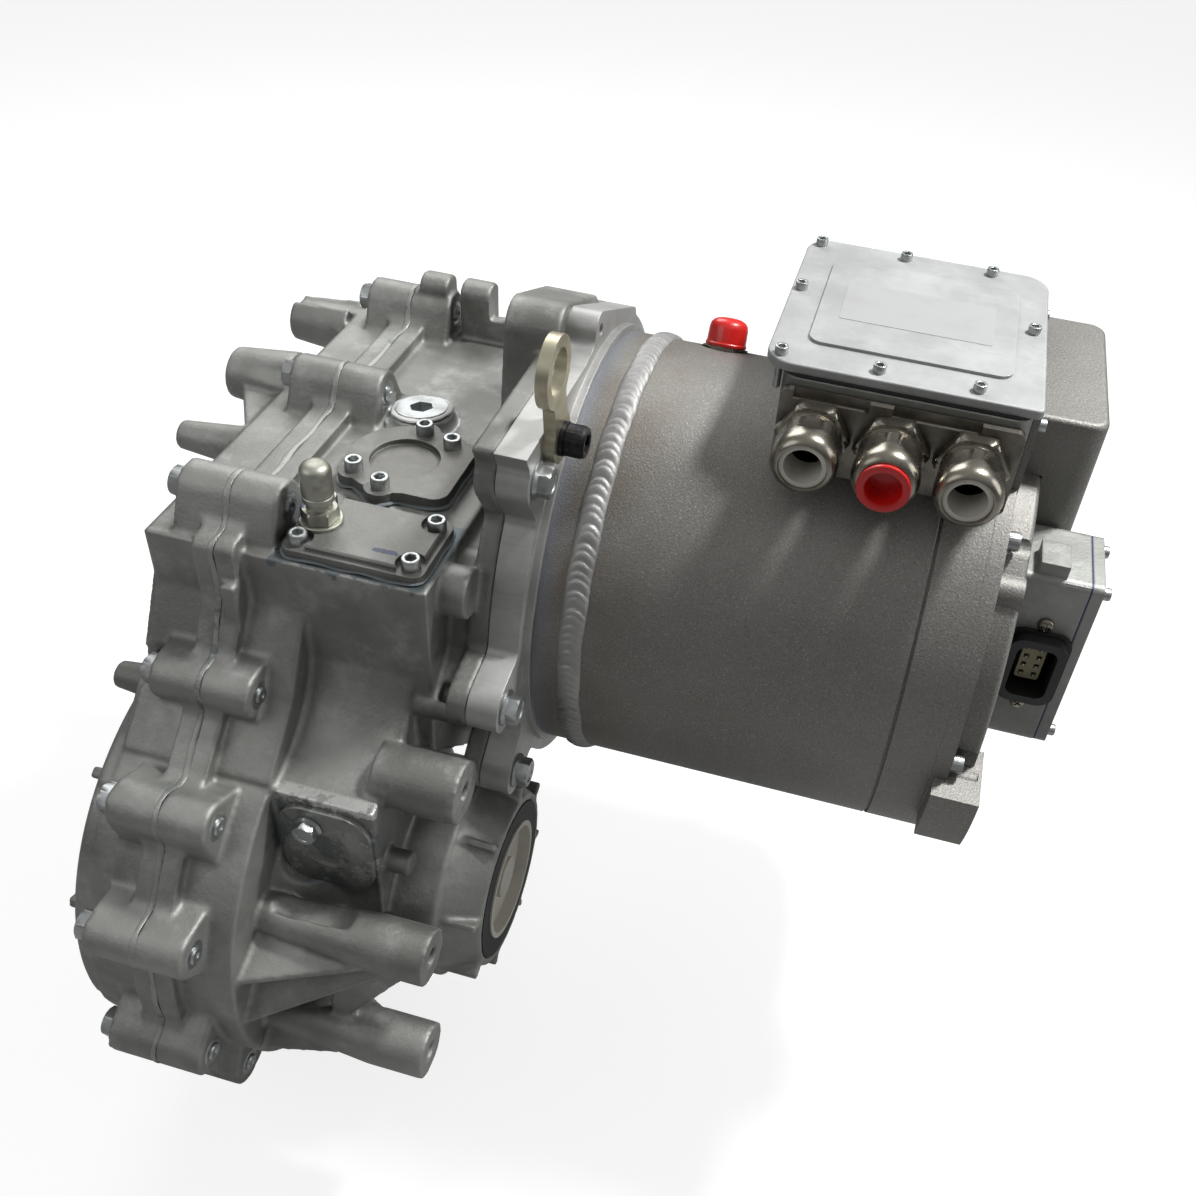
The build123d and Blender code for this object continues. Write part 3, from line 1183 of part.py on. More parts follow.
def bevel_gear(teeth, mate_teeth, first_tooth):
    """A bevel gear along +Z with its cone point at the origin and a tooth or a gap on +X."""
    pitch_r = bevel_module * teeth / 2
    distance = bevel_module * mate_teeth / 2
    lean = distance / hypot(distance, pitch_r)
    rise = 0.75 * bevel_module / lean
    fall = 0.95 * bevel_module / lean
    points = []
    for tooth in range(teeth):
        middle = 2 * pi * (tooth + first_tooth) / teeth
        half = pi / (2 * teeth) - 0.28 / pitch_r
        slope = 0.36 * lean / pitch_r
        ends = [(-fall, half + fall * slope), (rise, half - rise * slope)]
        for depth, a in ends:
            points.append(((pitch_r + depth) * cos(middle - a), (pitch_r + depth) * sin(middle - a)))
        for depth, a in reversed(ends):
            points.append(((pitch_r + depth) * cos(middle + a), (pitch_r + depth) * sin(middle + a)))
    large = Pos(0, 0, distance) * make_face(Polyline(*points, close=True))
    small_points = [(x * bevel_inner_share, y * bevel_inner_share) for x, y in points]
    small = Pos(0, 0, distance * bevel_inner_share) * make_face(Polyline(*small_points, close=True))
    return loft([small, large], ruled=True)


side_gears = []
pinions = []
for side in (1, -1):
    gear = bevel_gear(side_teeth, bevel_teeth, 0)
    gear += Pos(0, 0, 24.4) * Cylinder(24, 8.8) + Pos(0, 0, 34) * Cylinder(side_bore_r + 4.9, 24)
    gear -= Cylinder(side_bore_r, 200)
    side_gears.append(pin_axis * Rot(0, 90 * side, 0) * gear)
    pinion = bevel_gear(bevel_teeth, side_teeth, 0.5)
    pinion += Pos(0, 0, 35.2) * Cylinder(12.5, 6.4)
    pinion -= Cylinder(pin_r + fit_gap, 200)
    pinions.append(pin_axis * Rot(90 - 90 * side, 0, 0) * pinion)
keep("side_gears", *side_gears)
keep("bevel_pinions", *pinions)

for name, shape in nodes.items():
    export_step(shape, f"parts/{name}.step")
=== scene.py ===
"""Looks of the electric drive unit: finishes, detailed fittings, studio and camera.

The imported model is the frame. Each sub-assembly is a class that holds its sizes, builds its
pieces in metres and dresses its nodes. Places follow the frame: +X along the motor axis towards
the rear cover, -Y towards the cable glands, +Z up. The sizes of turned and laid pieces are in
millimetres. Those of finishes, soft castings, seams and the studio are in metres.
"""

import json
import logging
import math
from dataclasses import dataclass, field
from enum import Enum
from typing import Any, Callable, Iterable, Optional, Protocol, Sequence, Union

import bmesh
import bpy
from mathutils import Matrix, Vector

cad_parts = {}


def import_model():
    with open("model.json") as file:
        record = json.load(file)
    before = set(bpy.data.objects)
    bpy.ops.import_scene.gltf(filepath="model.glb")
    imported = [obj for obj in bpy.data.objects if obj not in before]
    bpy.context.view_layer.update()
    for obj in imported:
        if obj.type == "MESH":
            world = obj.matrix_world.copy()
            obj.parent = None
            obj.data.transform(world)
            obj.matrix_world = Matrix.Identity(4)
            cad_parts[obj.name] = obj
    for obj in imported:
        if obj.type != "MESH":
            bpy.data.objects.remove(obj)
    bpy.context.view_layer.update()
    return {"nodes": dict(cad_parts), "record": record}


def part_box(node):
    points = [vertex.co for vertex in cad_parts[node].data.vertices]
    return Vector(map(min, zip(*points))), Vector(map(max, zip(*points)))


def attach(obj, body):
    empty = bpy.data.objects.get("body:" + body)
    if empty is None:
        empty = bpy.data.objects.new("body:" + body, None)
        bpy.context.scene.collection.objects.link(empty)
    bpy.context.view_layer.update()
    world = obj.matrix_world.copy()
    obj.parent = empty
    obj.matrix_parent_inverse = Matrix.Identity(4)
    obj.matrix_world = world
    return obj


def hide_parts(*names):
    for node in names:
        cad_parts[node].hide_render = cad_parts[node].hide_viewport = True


log = logging.getLogger("drive_unit")
MM = 0.001
MERGE_DISTANCE = 1e-6
HOUSING = "housing"
Colour = tuple[float, float, float]
Point = tuple[float, float, float]


class Direction(Enum):
    """The ways in which a fitting's head or mouth can point."""

    RIGHT = (1.0, 0.0, 0.0)
    LEFT = (-1.0, 0.0, 0.0)
    FRONT = (0.0, -1.0, 0.0)
    UP = (0.0, 0.0, 1.0)

    def turn(self) -> Matrix:
        """The rotation that takes +Z to this direction."""
        upright = Vector((0.0, 0.0, 1.0))
        return upright.rotation_difference(Vector(self.value)).to_matrix().to_4x4()


# Shader graphs


class Wire:
    """A shader socket that takes part in Python arithmetic."""

    def __init__(self, graph: "Graph", socket: Optional[bpy.types.NodeSocket]) -> None:
        """Keep the graph and the socket."""
        self.graph = graph
        self.socket = socket

    def _maths(self, operation: str, first: Any, second: Any) -> "Wire":
        """One Math node on two values or wires."""
        return self.graph.node("ShaderNodeMath", {"operation": operation}, {0: first, 1: second})

    def __add__(self, other: Any) -> "Wire":
        """self + other."""
        return self._maths("ADD", self, other)

    def __radd__(self, other: Any) -> "Wire":
        """other + self."""
        return self._maths("ADD", other, self)

    def __sub__(self, other: Any) -> "Wire":
        """self - other."""
        return self._maths("SUBTRACT", self, other)

    def __rsub__(self, other: Any) -> "Wire":
        """other - self."""
        return self._maths("SUBTRACT", other, self)

    def __mul__(self, other: Any) -> "Wire":
        """self * other."""
        return self._maths("MULTIPLY", self, other)

    def __abs__(self) -> "Wire":
        """The size of self."""
        return self._maths("ABSOLUTE", self, 0.0)

    def root(self) -> "Wire":
        """The square root of self."""
        return self._maths("SQRT", self, 0.0)

    def least(self, other: Any) -> "Wire":
        """The smaller of self and other."""
        return self._maths("MINIMUM", self, other)

    def most(self, other: Any) -> "Wire":
        """The larger of self and other."""
        return self._maths("MAXIMUM", self, other)

    def clamped(self) -> "Wire":
        """self held between 0 and 1."""
        return self.most(0.0).least(1.0)

    def step(self, low: float, high: float) -> "Wire":
        """A smooth step from 0 at low to 1 at high."""
        settings = {"interpolation_type": "SMOOTHSTEP"}
        inputs = {0: self, 1: low, 2: high, 3: 0.0, 4: 1.0}
        return self.graph.node("ShaderNodeMapRange", settings, inputs)


class Graph:
    """The node tree of one material or world, built through node()."""

    def __init__(self, name: str, owner: Optional[bpy.types.ID] = None) -> None:
        """Make an empty tree.

        Args:
            name: the material's name.
            owner: a world that takes the tree, where it isn't a material's.
        """
        self.material = owner or bpy.data.materials.new(name)
        self.material.use_nodes = True
        self.tree = self.material.node_tree
        self.tree.nodes.clear()
        self._place: Optional[Wire] = None

    def node(
        self,
        kind: str,
        settings: Optional[dict] = None,
        inputs: Optional[dict] = None,
        out: Any = 0,
    ) -> Wire:
        """Add one node.

        Args:
            kind: the node's type.
            settings: attributes that are set before the sockets.
            inputs: socket index or name to a value or a wire.
            out: index or name of the output that is returned.

        Returns:
            The output socket as a wire.
        """
        item = self.tree.nodes.new(kind)
        for key, value in (settings or {}).items():
            setattr(item, key, value)
        for key, value in (inputs or {}).items():
            if isinstance(value, Wire):
                self.tree.links.new(value.socket, item.inputs[key])
            elif isinstance(value, tuple) and item.inputs[key].type == "RGBA":
                item.inputs[key].default_value = (*value, 1.0)
            else:
                item.inputs[key].default_value = value
        return Wire(self, item.outputs[out] if len(item.outputs) else None)

    @property
    def place(self) -> Wire:
        """Object coordinates, in metres."""
        if self._place is None:
            self._place = self.node("ShaderNodeTexCoord", out="Object")
        return self._place

    def axis_of(self, vector: Wire, name: str) -> Wire:
        """One coordinate of a vector: X, Y or Z."""
        return self.node("ShaderNodeSeparateXYZ", None, {0: vector}, name)

    def axis(self, name: str) -> Wire:
        """One coordinate of the place: X, Y or Z."""
        return self.axis_of(self.place, name)

    def ray(self, kind: str) -> Wire:
        """1 for rays of one kind, such as Camera or Glossy."""
        return self.node("ShaderNodeLightPath", out=f"Is {kind} Ray")

    def noise(
        self, scale: float, detail: float = 3.0, rough: float = 0.55, place: Optional[Wire] = None
    ) -> Wire:
        """Noise between 0 and 1.

        Args:
            scale: cells per metre.
            detail: octaves.
            rough: share of each finer octave.
            place: coordinates, or Object coordinates where none are given.

        Returns:
            The noise's factor.
        """
        place = place or self.place
        inputs = {"Vector": place, "Scale": scale, "Detail": detail, "Roughness": rough}
        return self.node("ShaderNodeTexNoise", {"noise_dimensions": "3D"}, inputs)

    def grain(self, scale: float) -> Wire:
        """Small cells of random height, as blasting leaves."""
        inputs = {"Vector": self.place, "Scale": scale}
        return self.node("ShaderNodeTexVoronoi", {"feature": "F1"}, inputs)

    def blend(self, factor: Any, first: Any, second: Any) -> Wire:
        """Colour first where factor is 0 and second where it is 1."""
        settings = {"data_type": "RGBA", "clamp_factor": True}
        return self.node("ShaderNodeMix", settings, {0: factor, 6: first, 7: second}, 2)

    def bump(self, height: Any, depth: float, under: Optional[Wire] = None) -> Wire:
        """A bumped normal.

        Args:
            height: height between 0 and 1.
            depth: height of 1, in metres.
            under: a normal that this bump lies on.

        Returns:
            The normal.
        """
        inputs: dict[str, Any] = {"Strength": 1.0, "Distance": depth, "Height": height}
        if under is not None:
            inputs["Normal"] = under
        return self.node("ShaderNodeBump", None, inputs)

    def eased(self, radius: float) -> Wire:
        """The surface normal with edges rounded over a radius in metres."""
        return self.node("ShaderNodeBevel", {"samples": 4}, {"Radius": radius})

    def wear(self, eased: Wire) -> Wire:
        """A mask that is 1 along edges and 0 on flat metal.

        Args:
            eased: the normal from eased().

        Returns:
            The mask.
        """
        normal = self.node("ShaderNodeNewGeometry", out="True Normal")
        settings = {"operation": "DOT_PRODUCT"}
        same = self.node("ShaderNodeVectorMath", settings, {0: eased, 1: normal}, "Value")
        return (1.0 - same).step(0.01, 0.2)

    def finish(self, **sockets: Any) -> bpy.types.Material:
        """Close the graph with a Principled shader.

        Args:
            **sockets: Principled socket names, with _ for a space, to values or wires.

        Returns:
            The material.
        """
        inputs = {key.replace("_", " "): value for key, value in sockets.items()}
        shader = self.node("ShaderNodeBsdfPrincipled", None, inputs)
        self.node("ShaderNodeOutputMaterial", None, {0: shader})
        return self.material


# Finishes

CAST_TONE: Colour = (0.345, 0.350, 0.331)
SEALANT_DARK: Colour = (0.13, 0.155, 0.165)
SEALANT_PALE: Colour = (0.50, 0.51, 0.50)
SEALANT_SHINY: Colour = (0.66, 0.66, 0.64)
INK_BLUE: Colour = (0.012, 0.022, 0.085)
METALLIC = 0.85


class Finish(Protocol):
    """What every finish has: a name and a way to make its material."""

    @property
    def name(self) -> str:
        """The slot or finish that the material serves."""

    def build(self) -> bpy.types.Material:
        """Make the material."""


@dataclass(frozen=True)
class Patch:
    """A ragged patch of sealant or ink round a rectangle or a circle on one face, in metres.

    The level names the axis that the face is square to, its place and how far the patch
    reaches off it. Broken is the noise below which the patch is missing.
    """

    axes: tuple[str, str]
    centre: tuple[float, float]
    half: tuple[float, float]
    level: tuple[str, float, float]
    reach: float
    ragged: float
    scale: float
    colour: Colour
    rough: float
    amount: float
    circle: bool = False
    broken: float = 0.0

    def mask(self, g: Graph) -> Wire:
        """1 inside the patch, with a ragged edge.

        Args:
            g: the graph of the material.

        Returns:
            The mask.
        """
        first = g.axis(self.axes[0]) - self.centre[0]
        second = g.axis(self.axes[1]) - self.centre[1]
        if self.circle:
            away = (first * first + second * second).root() - self.half[0]
        else:
            away = (abs(first) - self.half[0]).most(abs(second) - self.half[1])
        away = away + (g.noise(self.scale, 4.0, 0.6) - 0.5) * self.ragged
        axis, place, depth = self.level
        near = 1.0 - abs(g.axis(axis) - place).step(depth * 0.7, depth)
        mask = (1.0 - away.step(self.reach - 0.0004, self.reach)) * near * self.amount
        if self.broken:
            crumbs = g.noise(self.scale * 0.7, 5.0, 0.7)
            mask = mask * crumbs.step(self.broken, self.broken + 0.07)
        return mask


@dataclass(frozen=True)
class CastMetal:
    """Die-cast aluminium: cool grey skin with flow marks, stains and pores."""

    name: str = "cast_aluminium"
    tone: Colour = CAST_TONE
    dark: Colour = (0.205, 0.208, 0.193)
    pale: Colour = (0.48, 0.486, 0.47)
    stain: Colour = (0.16, 0.155, 0.14)
    rubbed: Colour = (0.52, 0.52, 0.50)
    seam_x: Optional[float] = None
    patches: tuple[Patch, ...] = ()
    edge: float = 0.0012
    flow_depth: float = 0.0004
    grain_depth: float = 0.00012

    def build(self) -> bpy.types.Material:
        """Make the material."""
        g = Graph(self.name)
        clouds = g.noise(9.0, 5.0, 0.6)
        flow = g.noise(38.0, 4.0, 0.65)
        fine = g.noise(900.0, 2.0)
        pores = g.grain(420.0)
        eased = g.eased(self.edge)
        colour = g.blend(clouds.step(0.34, 0.66), self.dark, self.tone)
        colour = g.blend(flow.step(0.50, 0.72) * 0.45, colour, self.pale)
        stains = g.noise(21.0, 6.0, 0.7).step(0.60, 0.72) * 0.45
        colour = g.blend(stains, colour, self.stain)
        colour = g.blend(g.wear(eased) * 0.35, colour, self.rubbed)
        rough = 0.47 + flow * 0.14 + fine * 0.10
        normal = g.bump(flow, self.flow_depth, eased)
        normal = g.bump(fine + pores * 0.6, self.grain_depth, normal)
        if self.seam_x is not None:
            band = 1.0 - abs(g.axis("X") - self.seam_x).step(0.0004, 0.0016)
            squeezed = band * g.noise(70.0, 4.0, 0.7).step(0.38, 0.52)
            colour = g.blend(squeezed, colour, SEALANT_DARK)
        for patch in self.patches:
            mask = patch.mask(g)
            colour = g.blend(mask, colour, patch.colour)
            rough = rough + mask * (patch.rough - 0.45)
        return g.finish(
            Base_Color=colour, Metallic=METALLIC, Roughness=rough.clamped(), Normal=normal
        )


@dataclass(frozen=True)
class BlastedMetal:
    """Bead-blasted aluminium: an even sparkling grain, a brown heat tint near the weld and a
    painted bluish reflection in front of it.
    """

    name: str = "blasted_aluminium"
    tone: Colour = (0.20, 0.195, 0.18)
    pale: Colour = (0.33, 0.325, 0.31)
    glint: Colour = (0.50, 0.49, 0.46)
    pit: Colour = (0.10, 0.097, 0.088)
    heat_brown: Colour = (0.17, 0.135, 0.10)
    # Colour of the painted pale bluish reflection on the metal in front of the weld.
    painted_blue_reflection: Colour = (0.30, 0.34, 0.42)
    weld_x: float = 0.020
    edge: float = 0.0008
    grain_depth: float = 0.00016

    def build(self) -> bpy.types.Material:
        """Make the material."""
        g = Graph(self.name)
        sparkle = g.grain(900.0)
        fine = g.noise(1000.0, 3.0, 0.75)
        clouds = g.noise(7.0, 4.0, 0.6)
        colour = g.blend(clouds.step(0.3, 0.75) * 0.5, self.tone, self.pale)
        colour = g.blend(fine.step(0.54, 0.70) * 0.6, colour, self.glint)
        colour = g.blend((1.0 - fine.step(0.30, 0.45)) * 0.6, colour, self.pit)
        away = g.axis("X") - self.weld_x
        brown = (1.0 - abs(away).step(0.010, 0.045)) * g.noise(60.0, 3.0).step(0.2, 0.7)
        colour = g.blend(brown * 0.4, colour, self.heat_brown)
        # Painted reflection: a pale bluish band over the metal at X below about 0, in front of the
        # weld.
        blue = (1.0 - (away + 0.020).step(-0.004, 0.012)).clamped()
        colour = g.blend(blue * 0.55, colour, self.painted_blue_reflection)
        rough = 0.50 + fine * 0.14
        normal = g.bump(sparkle * 0.5 + fine, self.grain_depth, g.eased(self.edge))
        return g.finish(
            Base_Color=colour, Metallic=METALLIC, Roughness=rough.clamped(), Normal=normal
        )


@dataclass(frozen=True)
class MilledMetal:
    """Milled or turned aluminium with fine tool lines square to the motor axis."""

    name: str = "machined_aluminium"
    tone: Colour = (0.37, 0.37, 0.357)
    pale: Colour = (0.52, 0.52, 0.51)
    line: Colour = (0.24, 0.235, 0.22)
    rubbed: Colour = (0.62, 0.62, 0.60)
    stretch: Point = (40.0, 900.0, 40.0)
    rough: float = 0.47
    metal: float = METALLIC
    edge: float = 0.0006
    line_depth: float = 0.00004

    def build(self) -> bpy.types.Material:
        """Make the material."""
        g = Graph(self.name)
        stretched = g.node("ShaderNodeMapping", None, {0: g.place, 3: self.stretch})
        lines = g.noise(1.0, 3.0, 0.6, stretched)
        clouds = g.noise(24.0, 5.0, 0.65)
        colour = g.blend(clouds.step(0.35, 0.75), self.tone, self.pale)
        colour = g.blend(lines.step(0.55, 0.8) * 0.35, colour, self.line)
        fine = g.noise(1300.0, 2.0)
        eased = g.eased(self.edge)
        normal = g.bump(lines + fine * 0.5, self.line_depth, eased)
        colour = g.blend(g.wear(eased) * 0.5, colour, self.rubbed)
        rough = self.rough + clouds * 0.16
        return g.finish(
            Base_Color=colour, Metallic=self.metal, Roughness=rough.clamped(), Normal=normal
        )


@dataclass(frozen=True)
class PlatedMetal:
    """Plated or bare steel: nickel, zinc, yellow zinc, black oxide or ground steel."""

    name: str
    tone: Colour
    worn: Colour
    rough: float
    spread: float
    grain_depth: float = 0.00002
    patches: tuple[Patch, ...] = ()

    def build(self) -> bpy.types.Material:
        """Make the material."""
        g = Graph(self.name)
        clouds = g.noise(75.0, 4.0, 0.65)
        fine = g.noise(1800.0, 2.0)
        colour = g.blend(clouds.step(0.42, 0.70), self.tone, self.worn)
        for patch in self.patches:
            colour = g.blend(patch.mask(g), colour, patch.colour)
        rough = self.rough + clouds * self.spread
        normal = g.bump(fine + clouds * 0.4, self.grain_depth)
        return g.finish(Base_Color=colour, Metallic=1.0, Roughness=rough.clamped(), Normal=normal)


@dataclass(frozen=True)
class Moulded:
    """Moulded rubber or plastic with a faint skin texture and dust."""

    name: str
    tone: Colour
    dust: Colour
    rough: float
    coat: float = 0.0
    skin_depth: float = 0.00002

    def build(self) -> bpy.types.Material:
        """Make the material."""
        g = Graph(self.name)
        clouds = g.noise(55.0, 4.0, 0.6)
        fine = g.noise(1500.0, 2.0)
        colour = g.blend(clouds.step(0.45, 0.80) * 0.5, self.tone, self.dust)
        rough = self.rough + fine * 0.15
        return g.finish(
            Base_Color=colour,
            Metallic=0.0,
            Roughness=rough.clamped(),
            Coat_Weight=self.coat,
            Normal=g.bump(fine, self.skin_depth),
        )


@dataclass(frozen=True)
class SheetStack:
    """Stamped sheets pressed into a core, seen as thin rings along the motor axis."""

    name: str = "lamination_steel"
    gap: Colour = (0.10, 0.105, 0.12)
    sheet: Colour = (0.24, 0.245, 0.26)
    sheets_scale: float = 320.0

    def build(self) -> bpy.types.Material:
        """Make the material."""
        g = Graph(self.name)
        settings = {"wave_type": "BANDS", "bands_direction": "X"}
        inputs = {"Vector": g.place, "Scale": self.sheets_scale}
        sheets = g.node("ShaderNodeTexWave", settings, inputs, 1)
        colour = g.blend(sheets, self.gap, self.sheet)
        return g.finish(
            Base_Color=colour, Metallic=0.9, Roughness=0.45, Normal=g.bump(sheets, 0.0001)
        )


@dataclass(frozen=True)
class SeamSealant:
    """Sealant smeared along a parting line: mostly rubbed back to the casting, dark in places."""

    name: str = "seam_sealant"
    rubbed: Colour = CAST_TONE
    dark: Colour = (0.15, 0.17, 0.172)

    def build(self) -> bpy.types.Material:
        """Make the material."""
        g = Graph(self.name)
        smears = g.noise(45.0, 5.0, 0.7).step(0.52, 0.64)
        colour = g.blend(smears, self.rubbed, self.dark)
        metal = METALLIC - smears * 0.6
        normal = g.bump(g.noise(400.0, 3.0), 0.0003)
        return g.finish(Base_Color=colour, Metallic=metal, Roughness=0.55, Normal=normal)


def deck_ink(
    place: tuple[float, float], half: tuple[float, float], reach: float, ragged: float,
    scale: float, amount: float = 0.6, level: tuple[str, float, float] = ("Z", 0.0715, 0.003),
) -> Patch:
    """A blob or a stroke of blue ink on the deck covers or the breather.

    Args:
        place: its X and Y.
        half: its half lengths, or its radius and 0 for a round blob.
        reach: how far it spreads past that.
        ragged: how far its edge wanders.
        scale: cells per metre of the edge's noise.
        amount: how much it covers.
        level: the axis and height of the face, and how far off it the ink still shows.

    Returns:
        The patch.
    """
    return Patch(
        ("X", "Y"), place, half, level, reach, ragged, scale, INK_BLUE, 0.4, amount, not half[1]
    )


RETAINER_EDGE: dict[str, Any] = {
    "axes": ("X", "Z"), "centre": (-0.079, -0.072), "half": (0.025, 0.028),
    "level": ("Y", -0.207, 0.006), "reach": 0.0035, "ragged": 0.008,
}
CASTING_PATCHES = (
    Patch(
        axes=("X", "Y"), centre=(-0.0825, -0.1245), half=(0.0365, 0.0235),
        level=("Z", 0.0635, 0.005), reach=0.0035, ragged=0.009, scale=120.0,
        colour=SEALANT_DARK, rough=0.4, amount=0.8,
    ),
    Patch(
        axes=("X", "Y"), centre=(-0.102, -0.012), half=(0.017, 0.0),
        level=("Z", 0.0685, 0.010), reach=0.004, ragged=0.010, scale=90.0,
        colour=SEALANT_PALE, rough=0.3, amount=0.8, circle=True,
    ),
    Patch(
        **RETAINER_EDGE, scale=90.0, colour=SEALANT_PALE, rough=0.3, amount=0.75, broken=0.53
    ),
    Patch(**RETAINER_EDGE, scale=60.0, colour=SEALANT_DARK, rough=0.4, amount=0.7, broken=0.50),
    Patch(
        axes=("X", "Z"), centre=(-0.070, -0.036), half=(0.030, 0.004),
        level=("Y", -0.206, 0.008), reach=0.003, ragged=0.012, scale=160.0,
        colour=SEALANT_SHINY, rough=0.25, amount=0.8, broken=0.42,
    ),
)
COVER_PATCHES = (
    deck_ink((-0.110, -0.139), (0.0045, 0.0), 0.001, 0.008, 150.0, 0.5),
    deck_ink((-0.0685, -0.1370), (0.006, 0.001), 0.0006, 0.005, 260.0),
    deck_ink((-0.052, -0.1035), (0.004, 0.0), 0.001, 0.007, 170.0),
)
BREATHER_PAINT = (
    deck_ink((-0.120, -0.122), (0.0085, 0.0), 0.001, 0.010, 130.0, 0.85, ("Z", 0.0765, 0.006)),
)
FINISHES: tuple[Finish, ...] = (
    CastMetal(seam_x=-0.148, patches=CASTING_PATCHES),
    CastMetal("weld_aluminium", (0.40, 0.40, 0.39), (0.27, 0.265, 0.26), (0.58, 0.58, 0.57)),
    CastMetal(
        "cover_cast", (0.235, 0.235, 0.222), (0.16, 0.158, 0.145), (0.31, 0.31, 0.30),
        patches=COVER_PATCHES, edge=0.0007,
    ),
    BlastedMetal(),
    MilledMetal(),
    MilledMetal(
        "lid_aluminium", (0.33, 0.336, 0.336), (0.43, 0.436, 0.436), rough=0.56, metal=0.6
    ),
    PlatedMetal("nickel", (0.31, 0.288, 0.245), (0.20, 0.183, 0.152), 0.17, 0.18),
    PlatedMetal("dull_nickel", (0.22, 0.205, 0.18), (0.15, 0.14, 0.12), 0.28, 0.22),
    PlatedMetal("zinc_steel", (0.46, 0.48, 0.48), (0.30, 0.315, 0.31), 0.28, 0.2),
    PlatedMetal(
        "breather_zinc", (0.42, 0.42, 0.37), (0.28, 0.275, 0.23), 0.36, 0.24, 0.00003,
        BREATHER_PAINT,
    ),
    PlatedMetal("yellow_zinc", (0.52, 0.49, 0.37), (0.40, 0.37, 0.27), 0.3, 0.2),
    PlatedMetal("black_steel", (0.030, 0.030, 0.032), (0.08, 0.08, 0.08), 0.35, 0.2),
    PlatedMetal("gear_steel", (0.36, 0.36, 0.37), (0.28, 0.28, 0.29), 0.22, 0.15),
    SheetStack(),
    PlatedMetal("copper", (0.60, 0.27, 0.12), (0.42, 0.17, 0.07), 0.3, 0.2),
    Moulded("black_rubber", (0.018, 0.018, 0.019), (0.06, 0.06, 0.058), 0.55),
    Moulded("blue_seal", (0.012, 0.025, 0.10), (0.03, 0.05, 0.13), 0.45),
    Moulded("red_rubber", (0.62, 0.010, 0.008), (0.50, 0.03, 0.02), 0.28, 0.3),
    Moulded("white_plastic", (0.62, 0.60, 0.53), (0.44, 0.42, 0.35), 0.42),
    Moulded("black_plastic", (0.014, 0.014, 0.015), (0.05, 0.05, 0.05), 0.38),
    Moulded("cream_plastic", (0.46, 0.42, 0.26), (0.34, 0.31, 0.2), 0.4),
    Moulded("seal_rubber", (0.66, 0.64, 0.57), (0.52, 0.49, 0.42), 0.42),
    Moulded("grey_sealant", (0.19, 0.215, 0.23), (0.30, 0.33, 0.34), 0.4),
    Moulded("silver_sealant", (0.55, 0.55, 0.54), (0.38, 0.38, 0.37), 0.4),
    Moulded("white_panel", (0.33, 0.335, 0.335), (0.27, 0.27, 0.265), 0.6),
    SeamSealant(),
)
OWN_FINISH: dict[str, str] = {
    "terminal_box_lid": "lid_aluminium",
    "square_cover": "cover_cast",
    "round_cover": "cover_cast",
    "retainer_plate": "cast_aluminium",
    "signal_box": "cast_aluminium",
    "signal_box_cover": "cast_aluminium",
    "gland_plate": "dull_nickel",
}


@dataclass
class Finishes:
    """Every material of the unit, made once and looked up by its slot."""

    made: dict[str, bpy.types.Material] = field(default_factory=dict)

    def build(self) -> "Finishes":
        """Make all the materials."""
        for recipe in FINISHES:
            self.made[recipe.name] = recipe.build()
        return self

    def __getitem__(self, slot: str) -> bpy.types.Material:
        """The material of a slot."""
        return self.made[slot]

    def dress(self, obj: bpy.types.Object, slot: str) -> None:
        """Give an object one material."""
        obj.data.materials.clear()
        obj.data.materials.append(self.made[slot])


# Mesh building

Radius = Union[float, Callable[[float], float]]
Loops = list[tuple[float, Radius]]
Wave = tuple[float, float, float]


def wavy(place: float, *waves: Wave) -> float:
    """The sum of some sines at a place, each given by its size, frequency and phase."""
    return sum(size * math.sin(often * place + phase) for size, often, phase in waves)


def hexagon(across_flats: float) -> Callable[[float], float]:
    """The polar radius of a hexagon.

    Args:
        across_flats: width over its flats.

    Returns:
        A function of the angle.
    """

    def radius(angle: float) -> float:
        """Radius at an angle."""
        sector = angle % (math.pi / 3) - math.pi / 6
        return across_flats / 2 / math.cos(sector)

    return radius


def at_most(first: Callable[[float], float], second: float) -> Callable[[float], float]:
    """A polar radius cut off at a circle, which chamfers a hexagon's corners."""
    return lambda angle: min(first(angle), second)


def knurl(r: float, ridges: int, depth: float) -> Callable[[float], float]:
    """The polar radius of a knurled rim."""
    return lambda angle: r - depth * (0.5 - 0.5 * math.cos(ridges * angle))


def cross(wide: float, narrow: float) -> Callable[[float], float]:
    """The polar radius of a cross recess.

    Args:
        wide: radius to the ends of its arms.
        narrow: radius in its inner corners.

    Returns:
        A function of the angle.
    """

    def radius(angle: float) -> float:
        """Radius at an angle."""
        inside = abs((angle + math.pi / 4) % (math.pi / 2) - math.pi / 4)
        return max(narrow, min(wide, narrow * 0.55 / max(math.sin(inside), 0.02)))

    return radius


def mesh_of(bm: bmesh.types.BMesh, name: str) -> bpy.types.Mesh:
    """Turn a bmesh into a mesh.

    Args:
        bm: the bmesh, which is freed.
        name: the mesh's name.

    Returns:
        The mesh.
    """
    mesh = bpy.data.meshes.new(name)
    bm.to_mesh(mesh)
    bm.free()
    return mesh


def through(
    name: str, rings: Iterable[Iterable[Sequence[float]]], ring_shaped: bool = False
) -> bpy.types.Mesh:
    """A closed mesh through rings of points.

    Args:
        name: the mesh's name.
        rings: rings with the same number of points, in metres.
        ring_shaped: joins the last ring to the first, in place of a cap at each end.

    Returns:
        The mesh, with its faces outward.
    """
    bm = bmesh.new()
    rows = [[bm.verts.new(point) for point in ring] for ring in rings]
    pairs = list(zip(rows, rows[1:]))
    if ring_shaped:
        pairs.append((rows[-1], rows[0]))
    for low, high in pairs:
        for index in range(len(low)):
            after = (index + 1) % len(low)
            bm.faces.new((low[index], low[after], high[after], high[index]))
    if not ring_shaped:
        for row in (rows[0], rows[-1]):
            bm.faces.new(row)
    bmesh.ops.recalc_face_normals(bm, faces=bm.faces)
    return mesh_of(bm, name)


